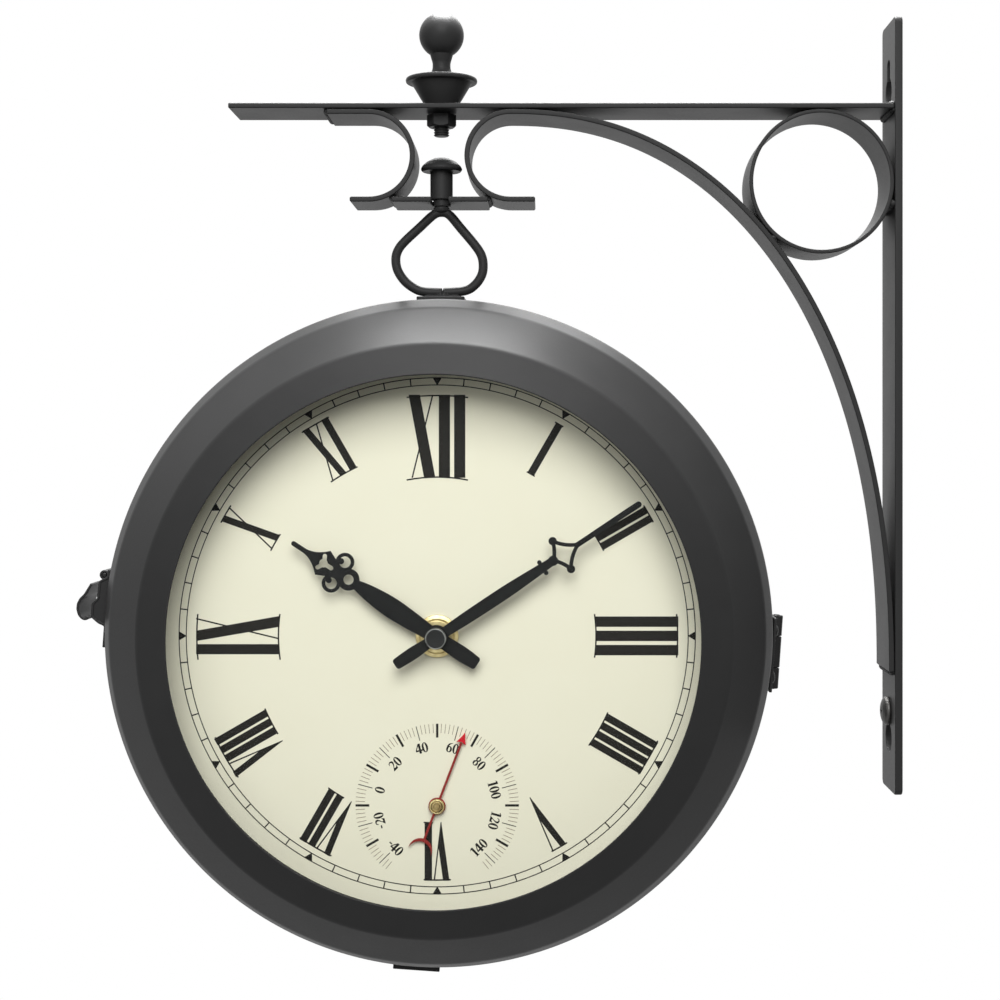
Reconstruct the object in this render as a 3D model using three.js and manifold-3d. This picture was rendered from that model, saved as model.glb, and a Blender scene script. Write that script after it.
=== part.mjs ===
// A station clock with a dial on each side, hung from a scrolled wall bracket. Millimetres, +Z up.
// The origin is the centre of the wall plate's back face: the wall is the plane X = 0, the bracket
// reaches out along -X, one dial faces -Y and the other faces +Y.
import * as THREE from "three";
import { mergeVertices } from "three/addons/utils/BufferGeometryUtils.js";
import Module from "manifold-3d";

const wasm = await Module();
wasm.setup();

// ---------------------------------------------------------------- driving dimensions

const touch = 0.3; // gap between two pieces that rest on each other
const seam = 0.3; // gap between the two halves of the case

// Wall plate
const plateHeight = 300;
const plateThickness = 3;
const strapWidth = 25.4;
const plateCorner = 2.5;
const keyholeRadius = 5.5;
const keyholeSlotRadius = 2.5;
const keyholeRise = 10.2; // from the hole's centre up to the centre of the slot's round end
const upperKeyholeInset = 27.4; // from the plate's top end to the hole's centre
const lowerKeyholeInset = 20.6; // from its bottom end
const screwRadius = 2;
const screwHeadRadius = 5.6;
const screwHeadHeight = 2.8;

// Straps of the bracket
const strapThickness = 2;
const armDrop = 35.65; // from the plate's top end to the arm's underside
const armLength = 256;
const hangerReach = 178; // from the wall to the axis that the clock hangs on
const scrollRadius = 16.85;
const scrollRoom = 1.3; // between the hanging pin's head and each scroll
const scrollUpperLeg = 16.25;
const scrollTail = 7.25; // of the free scroll
const braceScrollTail = 9.35; // of the wall-side scroll
const braceFootRise = 47.5; // from the plate's bottom end
const braceExponent = 2.2; // 2 would be a plain ellipse
const ringThickness = 1.5;
const slotRadius = 3.5;

// Finial above the arm
const studRadius = 3;
const studBelowArm = 8.8;
const cupFootRadius = 6;
const cupConeRadius = 11.8;
const cupConeHeight = 9.7;
const cupRimRadius = 14;
const cupRimHeight = 1.8;
const neckRadius = 3.3;
const neckLength = 9.2;
const ballRadius = 8.75;
const nutAcrossFlats = 10;
const nutHeight = 5;

// Hanging pin, wire loop and the plate that it is welded to
const shankRadius = 4.4;
const shankLength = 11;
const pinHeadRadius = 8.2;
const pinHeadHeight = 5.7;
const pinNeckRadius = 3.2;
const pinNeckLength = 2.65;
const wireRadius = 1.8;
const loopHeight = 31.4; // between the wire's centre at the top and at the bottom
const hangerPlateWidth = 18.6;
const hangerPlateThickness = 1.5;
const hangerPlateFront = 8; // reach over the front half of the case
const hangerPlateBack = 18; // reach over the rear half, which carries it
const hangerRivetSpacing = 10;
const hangerRivetY = 11;

// Case halves: two pressed dishes, mouth to mouth
const openingRadius = 97.2;
const bezelWidth = 11.9; // slope next to the opening
const coneWidth = 14.4; // steeper slope outside it
const shoulderWidth = 4; // turn from the cone into the rim
const bandDepth = 18; // straight rim, from the seam
const bezelRise = 0.8; // the bezel's foot in front of the glass
const lipRise = 6.2; // the opening's edge in front of the glass
const sheet = 1.2;

// What each half holds, as depths from the seam towards the viewer
const dialFace = 27;
const dialThickness = 1.2;
const glassThickness = 2.5;
const glassLap = 7.3; // of the glass behind the opening's edge
const gasketInset = 1.3; // of the gasket's bore from the opening's edge
const handRoom = 3.5; // between the hands' cap and the glass
const spacerThickness = 1.5;
const retainerWidth = 5.5;
const retainerThickness = 2;

// Movement, hands and their fittings
const movementSize = 56;
const movementDepth = 15.5;
const movementCorner = 4;
const sleeveRadius = 3.8;
const sleeveRise = 3.5; // in front of the dial, as the rises below
const hourTubeRadius = 2.6;
const hourTubeRise = 6.2;
const minuteShaftRadius = 1.6;
const minuteShaftRise = 8.8;
const dialNutRadius = 8;
const dialNutThickness = 2.5;
const handThickness = 0.6;
const hourHubRadius = 4.6;
const minuteHubRadius = 4.3;
const hourHandRise = 5.2;
const minuteHandRise = 7.6;
const capRadius = 3.9;
const capHeight = 2.7;
const batteryRadius = 7;
const batteryLength = 49;
const batteryNub = 1.3;
const batteryNubRadius = 2.7;
const batteryDrop = 19.7; // below the movement's centre
const knobRadius = 5;
const knobHeight = 4;
const minuteReach = 5.9; // from the minute hand's tip to the opening's edge
const hourShortfall = 26.7; // of the hour hand against the minute hand
const handTail = 18.3;
const minuteAngle = 56.6; // clockwise from twelve
const hourAngle = 303.3;

// Thermometer
const thermometerDrop = 63.7; // below the dial's centre
const thermometerRadius = 16;
const thermometerDepth = 9;
const spindleRadius = 1.8;
const spindleTipRadius = 0.9;
const pointerRise = 1.6;
const pointerThickness = 0.5;
const pointerHubRadius = 3.2;
const pointerLength = 29.5;
const pointerTail = 15.8;
const pointerAngle = 21;
const pointerCapRadius = 2.5;
const pointerCapHeight = 1.2;

// Hinge, latch and bottom clip, at their places round the rim
const hingeAngle = -4;
const latchAngle = 176;
const clipAngle = 266;
const knuckleRadius = 2.5;
const knuckleLength = 8;
const middleKnuckleLength = 12;
const hingePinRadius = 1.2;
const leafThickness = 1;
const leafReach = 14;
const rimRivetY = 9;
const rimRivetSpacing = 18;
const rivetRadius = 1.3;
const rivetHeadRadius = 2.4;
const rivetHeadHeight = 1.2;
const rivetTailHeight = 1;
const latchLength = 30;
const latchSheet = 1;
const latchReach = 13;
const latchPivotDown = 3.5; // from the latch's top end
const latchPivotOut = 6; // from the case's rim
const latchPinRadius = 0.8;
const latchKnuckleRadius = 1.9;
const latchKnuckleLength = 3.4;
const clipWidth = 18;
const clipReach = 10;
const clipLip = 3.6;

// ---------------------------------------------------------------- derived places

const hangerX = -hangerReach;
const upperKeyholeZ = plateHeight / 2 - upperKeyholeInset;
const lowerKeyholeZ = lowerKeyholeInset - plateHeight / 2;
const armUndersideZ = plateHeight / 2 - armDrop;
const braceFootZ = braceFootRise - plateHeight / 2;
const scrollSpread = pinHeadRadius + scrollRoom + strapThickness / 2 + scrollRadius;
const armTopZ = armUndersideZ + strapThickness;
const halfWidth = strapWidth / 2;
const plateFrontX = -plateThickness;
const strapTopZ = armUndersideZ - touch - strapThickness / 2;
const barZ = strapTopZ - 2 * scrollRadius;
const rightScrollX = hangerX + scrollSpread;
const shoulderZ = barZ + strapThickness / 2 + touch; // where the pin's shoulder rests
const neckFootZ = shoulderZ - pinNeckLength;
const loopTopZ = neckFootZ - touch - wireRadius;
const loopBottomZ = loopTopZ - loopHeight;
const hangerPlateTopZ = loopBottomZ - wireRadius - touch;
const caseTopZ = hangerPlateTopZ - hangerPlateThickness - touch;
const bezelRadius = openingRadius + bezelWidth;
const shoulderRadius = bezelRadius + coneWidth;
const caseRadius = shoulderRadius + shoulderWidth;
const caseZ = caseTopZ - caseRadius;
const dialBack = dialFace - dialThickness;
const sleeveFace = dialFace + sleeveRise;
const hourTubeFace = dialFace + hourTubeRise;
const minuteShaftFace = dialFace + minuteShaftRise;
const hourHandFace = dialFace + hourHandRise;
const minuteHandFace = dialFace + minuteHandRise;
const pointerFace = dialFace + pointerRise;
const glassBack = minuteHandFace + touch + capHeight + handRoom;
const glassFace = glassBack + glassThickness;
const bezelDepth = glassFace + bezelRise;
const openingDepth = glassFace + lipRise;
const glassRadius = openingRadius + glassLap;
const minuteLength = openingRadius - minuteReach;
const hourLength = minuteLength - hourShortfall;
const movementFace = dialBack - touch;
const movementBack = movementFace - movementDepth;
const hingeAxisRadius = caseRadius + touch + knuckleRadius + 0.2;

// ---------------------------------------------------------------- finishes

/** One finish of the object. */
function finish(color, roughness, metalness, extra = {}) {
  return new THREE.MeshStandardMaterial({ color, roughness, metalness, ...extra });
}

const coat = finish(0x3b3a38, 0.55, 0.35);
const brass = finish(0xb99545, 0.3, 1);
const glass = finish(0xeef4f2, 0.05, 0, { transparent: true, opacity: 0.3 });
const ivory = finish(0xeee8cc, 0.6, 0);
const blackMetal = finish(0x161616, 0.45, 0.2);
const blackPlastic = finish(0x1d1d1f, 0.6, 0);
const red = finish(0x6f2226, 0.5, 0);
const rubber = finish(0x202020, 0.9, 0);
const steel = finish(0x9a9a9a, 0.35, 1);
const batteryWrap = finish(0x3a4a5c, 0.4, 0.3);

// ---------------------------------------------------------------- solids

const degrees = THREE.MathUtils.degToRad;

/** A closed geometry as a solid, whichever way round its outline was listed. */
function solidOf(geometry) {
  const bare = geometry.index ? geometry.toNonIndexed() : geometry.clone();
  bare.deleteAttribute("normal");
  bare.deleteAttribute("uv");
  const merged = mergeVertices(bare, 1e-4);
  const corners = merged.index.array;
  const kept = [];
  for (let i = 0; i < corners.length; i += 3) {
    const [a, b, c] = corners.slice(i, i + 3);
    if (a !== b && b !== c && a !== c) kept.push(a, b, c);
  }
  const vertProperties = new Float32Array(merged.attributes.position.array);
  const build = (list) =>
    new wasm.Manifold(
      new wasm.Mesh({ numProp: 3, vertProperties, triVerts: new Uint32Array(list) }),
    );
  const solid = build(kept);
  return solid.volume() < 0 ? build(kept.reverse()) : solid;
}

/** A solid as a three.js geometry. */
function geometryOf(solid) {
  const mesh = solid.getMesh();
  const geometry = new THREE.BufferGeometry();
  geometry.setAttribute("position", new THREE.BufferAttribute(mesh.vertProperties, 3));
  geometry.setIndex(new THREE.BufferAttribute(mesh.triVerts, 1));
  geometry.computeVertexNormals();
  return geometry;
}

/** The solids of a list joined into one. */
function join(...solids) {
  return solids.reduce((sum, next) => sum.add(next));
}

/** A solid with each solid of a list cut from it. */
function cut(solid, ...tools) {
  return tools.reduce((rest, tool) => rest.subtract(tool), solid);
}

/** A solid turned about an axis through the origin, then moved. */
function moved(solid, [x, y, z], [turnX, turnY, turnZ] = [0, 0, 0]) {
  return solid.rotate([turnX, turnY, turnZ]).translate([x, y, z]);
}

/** A box between two corners. */
function box([x0, y0, z0], [x1, y1, z1]) {
  const geometry = new THREE.BoxGeometry(x1 - x0, y1 - y0, z1 - z0);
  return solidOf(geometry.translate((x0 + x1) / 2, (y0 + y1) / 2, (z0 + z1) / 2));
}

/** A solid of revolution about Y, from [radius, y] points that close on themselves or on the axis. */
function turnedY(points, segments = 48) {
  const profile = points.map(([radius, y]) => new THREE.Vector2(radius, y));
  if (points[0][0] > 0) profile.push(profile[0].clone());
  return solidOf(new THREE.LatheGeometry(profile, segments));
}

/** The same about Z, from [radius, z] points. */
function turnedZ(points, segments = 48) {
  return turnedY(points, segments).rotate([90, 0, 0]);
}

/** The same about X, from [radius, x] points. */
function turnedX(points, segments = 48) {
  return turnedY(points, segments).rotate([0, 0, -90]);
}

/** A round bar's profile between two stations, for the functions above. */
function rod(radius, from, to) {
  return [[0, from], [radius, from], [radius, to], [0, to]];
}

/** A tube's profile between two stations. */
function tube(inner, outer, from, to) {
  return [[inner, from], [outer, from], [outer, to], [inner, to]];
}

/** How far the rim has curved away under a rivet's tail that sits a distance from the middle. */
function rimFall(aside) {
  return caseRadius - Math.sqrt(caseRadius ** 2 - (Math.abs(aside) + rivetHeadRadius) ** 2);
}

/** A rivet's profile: a domed head above 0, a shank down through the grip, and a tail below it. */
function rivetProfile(grip) {
  const tailTop = -grip - touch;
  const tailRadius = rivetHeadRadius * 0.8;
  return [
    [0, rivetHeadHeight],
    [rivetHeadRadius * 0.6, rivetHeadHeight * 0.9],
    [rivetHeadRadius, 0],
    [rivetRadius, 0],
    [rivetRadius, tailTop],
    [tailRadius, tailTop],
    [tailRadius, tailTop - rivetTailHeight],
    [0, tailTop - rivetTailHeight],
  ];
}

/** An outline in the X-Z plane, given as a Shape of x and z, made thick from one y to another. */
function slabY(shape, from, to, curveSegments = 12) {
  const options = { depth: to - from, bevelEnabled: false, curveSegments };
  const geometry = new THREE.ExtrudeGeometry(shape, options);
  return solidOf(geometry.rotateX(Math.PI / 2).translate(0, to, 0));
}

/** An outline in the X-Y plane made thick from one z to another. */
function slabZ(shape, from, to, curveSegments = 12) {
  const options = { depth: to - from, bevelEnabled: false, curveSegments };
  return solidOf(new THREE.ExtrudeGeometry(shape, options).translate(0, 0, from));
}

/** A line moved sideways by a distance, to the left of its direction, with mitred corners. */
function offsetLine(points, distance) {
  const normal = (a, b) => new THREE.Vector2(a.y - b.y, b.x - a.x).normalize();
  return points.map((point, i) => {
    const before = i > 0 ? normal(points[i - 1], point) : null;
    const after = i < points.length - 1 ? normal(point, points[i + 1]) : null;
    const first = before ?? after;
    const second = after ?? before;
    const mitre = first.clone().add(second).divideScalar(1 + first.dot(second));
    return point.clone().addScaledVector(mitre, distance);
  });
}

/** The outline of a strip of even thickness along a line. */
function strip(points, thickness) {
  const left = offsetLine(points, thickness / 2);
  const right = offsetLine(points, -thickness / 2);
  return new THREE.Shape([...left, ...right.reverse()]);
}

/** Points of a circular arc, angles in degrees. */
function arc(x, z, radius, from, to, steps) {
  return Array.from({ length: steps + 1 }, (_, i) => {
    const angle = degrees(from + ((to - from) * i) / steps);
    return new THREE.Vector2(x + radius * Math.cos(angle), z + radius * Math.sin(angle));
  });
}

/** A line through [x, z] pairs. */
function line(...pairs) {
  return pairs.map(([x, z]) => new THREE.Vector2(x, z));
}

/** A round-cornered rectangle about the origin. */
function roundedRectangle(width, height, corner) {
  const x = width / 2 - corner;
  const z = height / 2 - corner;
  const steps = 4;
  return new THREE.Shape([
    ...arc(x, z, corner, 0, 90, steps),
    ...arc(-x, z, corner, 90, 180, steps),
    ...arc(-x, -z, corner, 180, 270, steps),
    ...arc(x, -z, corner, 270, 360, steps),
  ]);
}

const clock = new THREE.Group();
const bracket = new THREE.Group();
const object = new THREE.Group();
object.add(bracket, clock);

/** Adds one piece to a group under its name. */
function place(group, name, solid, material) {
  const mesh = new THREE.Mesh(geometryOf(solid), material);
  mesh.name = name;
  group.add(mesh);
  return mesh;
}

// ---------------------------------------------------------------- bracket

/** A keyhole through the wall plate: a round hole with a narrow slot above it. */
function keyhole(z) {
  const hole = turnedX(rod(keyholeRadius, -2 * plateThickness, plateThickness), 16);
  const slotEnd = turnedX(rod(keyholeSlotRadius, -2 * plateThickness, plateThickness), 12);
  const slot = box(
    [-2 * plateThickness, -keyholeSlotRadius, 0],
    [plateThickness, keyholeSlotRadius, keyholeRise],
  );
  return moved(join(hole, slot, moved(slotEnd, [0, 0, keyholeRise])), [0, 0, z]);
}

function wallPlate() {
  const outline = roundedRectangle(plateHeight, strapWidth, plateCorner);
  const blank = slabZ(outline, -plateThickness, 0).rotate([0, 90, 0]);
  return cut(blank, keyhole(upperKeyholeZ), keyhole(lowerKeyholeZ));
}

/** The screw in the lower keyhole, cut off at the wall. */
function plateScrew() {
  const headFoot = plateFrontX - touch;
  const crown = headFoot - screwHeadHeight;
  const screw = turnedX(
    [
      [0, crown],
      [screwHeadRadius * 0.55, crown + 0.25],
      [screwHeadRadius * 0.9, crown + 1.1],
      [screwHeadRadius, crown + 2],
      [screwHeadRadius, headFoot],
      [screwRadius, headFoot],
      [screwRadius, -touch],
      [0, -touch],
    ],
    18,
  );
  const recessFloor = crown + 1.6;
  const recessReach = 1.5;
  const recessHalf = 0.5;
  const across = box(
    [crown - 1, -recessReach, -recessHalf],
    [recessFloor, recessReach, recessHalf],
  );
  const upright = across.rotate([90, 0, 0]);
  return moved(cut(screw, across, upright), [0, 0, lowerKeyholeZ + keyholeRise]);
}

function topArm() {
  const end = plateFrontX - touch;
  const blank = box([end - armLength, -halfWidth, armUndersideZ], [end, halfWidth, armTopZ]);
  const studHole = turnedZ(rod(studRadius + touch, armUndersideZ - 1, armTopZ + 1), 14);
  return cut(blank, moved(studHole, [hangerX, 0, 0]));
}

/** The scroll beside the hanging pin on the free side, as a line through the middle of its strap. */
function leftScroll() {
  const centreX = hangerX - scrollSpread;
  const centreZ = strapTopZ - scrollRadius;
  const path = [
    new THREE.Vector2(centreX - scrollUpperLeg, strapTopZ),
    ...arc(centreX, centreZ, scrollRadius, 90, -90, 18),
    new THREE.Vector2(centreX - scrollTail, barZ),
  ];
  return slabY(strip(path, strapThickness), -halfWidth, halfWidth);
}

/** Points of the brace's sweep from the arm down to the wall plate, a rounded quarter. */
function bracePath(steps) {
  const reach = plateFrontX - touch - strapThickness / 2 - rightScrollX;
  const fall = strapTopZ - braceFootZ;
  return Array.from({ length: steps + 1 }, (_, i) => {
    const angle = (Math.PI / 2) * (i / steps);
    const across = Math.sin(angle) ** (2 / braceExponent);
    const up = Math.cos(angle) ** (2 / braceExponent);
    return new THREE.Vector2(rightScrollX + reach * across, braceFootZ + fall * up);
  });
}

/** The wall-side scroll, whose strap runs on as the brace. */
function braceScroll() {
  const centreZ = strapTopZ - scrollRadius;
  const path = [
    new THREE.Vector2(rightScrollX + braceScrollTail, barZ),
    ...arc(rightScrollX, centreZ, scrollRadius, 270, 90, 18).slice(0, -1),
    ...bracePath(24),
  ];
  return slabY(strip(path, strapThickness), -halfWidth, halfWidth);
}

/** The bar between the scrolls, with the open slot that takes the pin's neck. */
function lowerBar() {
  const top = barZ + strapThickness / 2;
  const below = strapTopZ - scrollRadius - top;
  const reach = scrollRadius + strapThickness / 2 + touch;
  const half = scrollSpread - Math.sqrt(reach ** 2 - below ** 2);
  const bottom = barZ - strapThickness / 2;
  const bar = box([-half, -halfWidth, bottom], [half, halfWidth, top]);
  const slotEnd = turnedZ(rod(slotRadius, bottom - 1, top + 1), 16);
  const slot = box([-slotRadius, -strapWidth, bottom - 1], [slotRadius, 0, top + 1]);
  return moved(cut(bar, slotEnd, slot), [hangerX, 0, 0]);
}

/** The largest ring that fits the corner between arm, wall plate and brace. */
function bracketRing() {
  const brace = offsetLine(bracePath(400), strapThickness / 2);
  const centreOf = (radius) =>
    new THREE.Vector2(plateFrontX - touch - radius, armUndersideZ - touch - radius);
  let low = 1;
  let high = armUndersideZ;
  while (high - low > 0.001) {
    const middle = (low + high) / 2;
    const centre = centreOf(middle);
    const room = Math.min(...brace.map((point) => point.distanceTo(centre)));
    if (room > middle + touch) low = middle;
    else high = middle;
  }
  const centre = centreOf(low);
  const ring = turnedY(tube(low - ringThickness, low, -halfWidth, halfWidth), 40);
  return moved(ring, [centre.x, 0, centre.y]);
}

/** Ball, neck and the threaded stud below them, turned from one bar. */
function finialKnob() {
  const neckFoot = armTopZ + touch + cupConeHeight + cupRimHeight + touch;
  const ballZ = neckFoot + neckLength + Math.sqrt(ballRadius ** 2 - neckRadius ** 2) - 0.6;
  const ballSteps = 8;
  const joint = 28; // degrees from straight down at which the ball meets its neck
  const ball = Array.from({ length: ballSteps + 1 }, (_, i) => {
    const angle = degrees(joint + ((180 - joint) * i) / ballSteps);
    return [ballRadius * Math.sin(angle), ballZ - ballRadius * Math.cos(angle)];
  });
  ball[ballSteps][0] = 0;
  return turnedZ(
    [
      [0, armUndersideZ - studBelowArm],
      [studRadius - 0.4, armUndersideZ - studBelowArm],
      [studRadius, armUndersideZ - studBelowArm + 0.5],
      [studRadius, neckFoot],
      [neckRadius + 1.9, neckFoot],
      [neckRadius + 1.0, neckFoot + 1.2],
      [neckRadius + 0.2, neckFoot + neckLength * 0.33],
      [neckRadius + 0.2, neckFoot + neckLength * 0.6],
      ...ball,
    ],
    20,
  );
}

function finialCup() {
  const foot = armTopZ + touch;
  const bore = studRadius + touch;
  return turnedZ(
    [
      [bore, foot],
      [cupFootRadius, foot],
      [cupConeRadius, foot + cupConeHeight],
      [cupRimRadius - 0.5, foot + cupConeHeight],
      [cupRimRadius, foot + cupConeHeight + cupRimHeight / 2],
      [cupRimRadius - 0.5, foot + cupConeHeight + cupRimHeight],
      [bore, foot + cupConeHeight + cupRimHeight],
    ],
    24,
  );
}

function finialNut() {
  const top = armUndersideZ - touch;
  const corner = nutAcrossFlats / Math.sqrt(3);
  const hexagon = new THREE.Shape(arc(0, 0, corner, 0, 300, 5));
  const blank = slabZ(hexagon, top - nutHeight, top);
  const chamfer = turnedZ(
    [
      [0, top - nutHeight],
      [nutAcrossFlats / 2 - 0.2, top - nutHeight],
      [corner + 0.1, top - nutHeight + 0.9],
      [corner + 0.1, top],
      [0, top],
    ],
    18,
  );
  const bore = turnedZ(rod(studRadius + touch, top - nutHeight - 1, top + 1), 14);
  return cut(blank.intersect(chamfer), bore);
}

place(bracket, "wall_plate", wallPlate(), coat);
place(bracket, "plate_screw", plateScrew(), steel);
place(bracket, "top_arm", topArm(), coat);
place(bracket, "left_scroll", leftScroll(), coat);
place(bracket, "brace_scroll", braceScroll(), coat);
place(bracket, "lower_bar", lowerBar(), coat);
place(bracket, "bracket_ring", bracketRing(), coat);

const finialPieces = {
  finial_knob: finialKnob(),
  finial_cup: finialCup(),
  finial_nut: finialNut(),
};
for (const [name, solid] of Object.entries(finialPieces)) {
  place(bracket, name, solid, coat).position.x = hangerX;
}

// ---------------------------------------------------------------- hanging pin, loop and plate

/** The mushroom pin: its shoulder rests on the bar and its neck passes through the slot. */
function hangerPin() {
  const headFoot = shoulderZ + shankLength;
  return turnedZ(
    [
      [0, neckFootZ],
      [pinNeckRadius, neckFootZ],
      [pinNeckRadius, shoulderZ],
      [shankRadius, shoulderZ],
      [shankRadius, headFoot + 0.4],
      [pinHeadRadius - 0.8, headFoot],
      [pinHeadRadius, headFoot + 1],
      [pinHeadRadius - 0.7, headFoot + 2.1],
      [pinHeadRadius * 0.68, headFoot + pinHeadHeight * 0.7],
      [pinHeadRadius * 0.36, headFoot + pinHeadHeight * 0.94],
      [0, headFoot + pinHeadHeight],
    ],
    20,
  );
}

/** The hand-bent wire loop, its two ends meeting over the plate; sideways and down from its top. */
function hangerLoop() {
  const bend = [
    [0.4, loopHeight], [-6.6, 31.1], [-10.4, 29.9], [-14.4, 26.9], [-17.2, 22.6], [-17.9, 18.2],
    [-16.9, 14.6], [-14.2, 11.2], [-8.5, 5.9], [-3.2, 1.05], [0, 0], [3.1, 1.05], [7.6, 6.3],
    [12.9, 12.6], [15.5, 16.6], [16.3, 20.6], [15.7, 24.6], [13.1, 28.4], [9.1, 30.7],
    [0.9, loopHeight],
  ];
  const points = bend.map(([side, down]) => new THREE.Vector3(side, 0, loopTopZ - down));
  const path = new THREE.CatmullRomCurve3(points, false, "centripetal");
  const section = new THREE.Shape(arc(0, 0, wireRadius, 0, 315, 7));
  const options = { steps: 48, extrudePath: path, bevelEnabled: false };
  return solidOf(new THREE.ExtrudeGeometry(section, options));
}

/** The two places on the hanger plate where it is riveted to the rear half of the case. */
const hangerRivets = [-hangerRivetSpacing / 2, hangerRivetSpacing / 2];

function hangerPlate() {
  const half = hangerPlateWidth / 2;
  const bottom = hangerPlateTopZ - hangerPlateThickness;
  const blank = box([-half, -hangerPlateFront, bottom], [half, hangerPlateBack, hangerPlateTopZ]);
  const hole = turnedZ(rod(rivetRadius + touch, bottom - 1, hangerPlateTopZ + 1), 10);
  return cut(blank, ...hangerRivets.map((x) => moved(hole, [x, hangerRivetY, 0])));
}

const hangerGroup = new THREE.Group();
hangerGroup.position.x = hangerX;
clock.add(hangerGroup);
place(hangerGroup, "hanger_pin", hangerPin(), coat);
place(hangerGroup, "hanger_loop", hangerLoop(), coat);
place(hangerGroup, "hanger_plate", hangerPlate(), coat);

const hangerGrip = touch + hangerPlateThickness + touch + sheet;
hangerRivets.forEach((x, i) => {
  const rivet = turnedZ(rivetProfile(hangerGrip + rimFall(x)), 10);
  const onPlate = moved(rivet, [x, hangerRivetY, hangerPlateTopZ + touch]);
  place(hangerGroup, `hanger_rivet_${i + 1}`, onPlate, steel);
});

// ---------------------------------------------------------------- case

const caseGroup = new THREE.Group();
caseGroup.position.set(hangerX, 0, caseZ);
clock.add(caseGroup);

/** The dish's outer profile, as radius and depth from the seam. */
const dishOutside = line(
  [caseRadius, seam / 2],
  [caseRadius, bandDepth],
  [shoulderRadius, dialFace],
  [bezelRadius, bezelDepth],
  [openingRadius, openingDepth],
);
const dishInside = offsetLine(dishOutside, sheet);

/** The depth at which the dish's inside has a radius. */
function insideDepth(radius) {
  const i = dishInside.findIndex((point, k) => k > 1 && point.x <= radius);
  const [a, b] = [dishInside[i - 1], dishInside[i]];
  return a.y + ((b.y - a.y) * (radius - a.x)) / (b.x - a.x);
}

/** The inside radius of the dish at a depth. */
function insideRadius(depth) {
  const i = dishInside.findIndex((point, k) => k > 0 && point.y >= depth);
  const [a, b] = [dishInside[i - 1], dishInside[i]];
  return a.x + ((b.x - a.x) * (depth - a.y)) / (b.y - a.y);
}

/** Holes through the rim at an angle, for rivets at given places across and along the rim. */
function rimHoles(angle, places) {
  const hole = turnedX(rod(rivetRadius + touch, caseRadius - 5, caseRadius + 5), 10);
  return places.map(([y, z]) => moved(hole, [0, y, z]).rotate([0, -angle, 0]));
}

const hingeRivetPlaces = [-rimRivetSpacing / 2, rimRivetSpacing / 2];
const latchRivetZ = latchLength / 2 - 3.5;

/** One dish; side is -1 for the half that faces -Y and 1 for the half that faces +Y. */
function caseHalf(side) {
  const inner = dishInside.slice(1, -1).reverse();
  const lipDepth = insideDepth(openingRadius + 0.01);
  const profile = [
    ...dishOutside.map((point) => [point.x, side * point.y]),
    [openingRadius, side * lipDepth],
    ...inner.map((point) => [point.x, side * point.y]),
    [caseRadius - sheet, (side * seam) / 2],
  ];
  const holes = [
    ...rimHoles(hingeAngle, hingeRivetPlaces.map((z) => [side * rimRivetY, z])),
  ];
  if (side > 0) {
    const hole = turnedZ(rod(rivetRadius + touch, caseRadius - 5, caseRadius + 5), 10);
    holes.push(...hangerRivets.map((x) => moved(hole, [x, hangerRivetY, 0])));
    holes.push(...rimHoles(latchAngle, [[rimRivetY, latchRivetZ]]));
  }
  return cut(turnedY(profile, 48), ...holes);
}

place(caseGroup, "front_shell", caseHalf(-1), coat);
place(caseGroup, "rear_shell", caseHalf(1), coat);

// ---------------------------------------------------------------- what each half holds
// Each face is made looking towards -Y, with depths from the seam counted towards the viewer.

/** A turned piece of a face, from [radius, depth] points. */
function turnedFace(points, segments) {
  return turnedY(points.map(([radius, depth]) => [radius, -depth]), segments);
}

/** A flat piece of a face, from its outline and the depths of its back and its front. */
function flatFace(shape, back, front) {
  return slabY(shape, -front, -back, 5);
}

function gasket() {
  const bore = openingRadius + gasketInset;
  const under = (radius) => insideDepth(radius) - touch;
  return turnedFace(
    [
      [bore, glassFace + touch],
      [glassRadius, glassFace + touch],
      [glassRadius, under(glassRadius)],
      [bore, under(bore)],
    ],
    40,
  );
}

function glassDisc() {
  return turnedFace(rod(glassRadius, glassBack, glassFace), 40);
}

/** The ring that keeps the glass and the dial apart. */
function spacerRing() {
  const back = dialFace + touch;
  const front = glassBack - touch;
  return turnedFace(tube(glassRadius - spacerThickness, glassRadius, back, front), 40);
}

/** The dial plate, seated at its edge against the inside of the dish. */
function dialPlate() {
  const radius = insideRadius(dialFace) - touch;
  const plate = turnedFace(rod(radius, dialBack, dialFace), 48);
  const centreHole = turnedFace(rod(sleeveRadius + touch, 0, openingDepth), 16);
  const spindleHole = turnedFace(rod(spindleRadius + touch, 0, openingDepth), 12);
  return cut(plate, centreHole, moved(spindleHole, [0, 0, -thermometerDrop]));
}

/** The sprung ring that holds the dial forward in the dish. */
function retainingRing() {
  const front = dialBack - touch;
  const back = front - retainerThickness;
  const outer = insideRadius(front) - touch;
  return turnedFace(tube(outer - retainerWidth, outer, back, front), 40);
}

/** The quartz movement: its box with the battery bay, the threaded sleeve and the two shafts. */
function movement() {
  const bodyShape = roundedRectangle(movementSize, movementSize, movementCorner);
  const body = flatFace(bodyShape, movementBack, movementFace);
  const bayHalf = batteryLength / 2 + batteryNub + 0.5;
  const bayDepth = movementBack + 2 * batteryRadius + 2 * touch;
  const bay = box(
    [-bayHalf, -bayDepth, -batteryDrop - batteryRadius - touch],
    [bayHalf, 0, -batteryDrop + batteryRadius + touch],
  );
  const shafts = turnedFace(
    [
      [0, movementFace - 1],
      [sleeveRadius, movementFace - 1],
      [sleeveRadius, sleeveFace],
      [hourTubeRadius, sleeveFace],
      [hourTubeRadius, hourTubeFace],
      [minuteShaftRadius, hourTubeFace],
      [minuteShaftRadius, minuteShaftFace],
      [0, minuteShaftFace],
    ],
    16,
  );
  return join(cut(body, bay), shafts);
}

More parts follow.
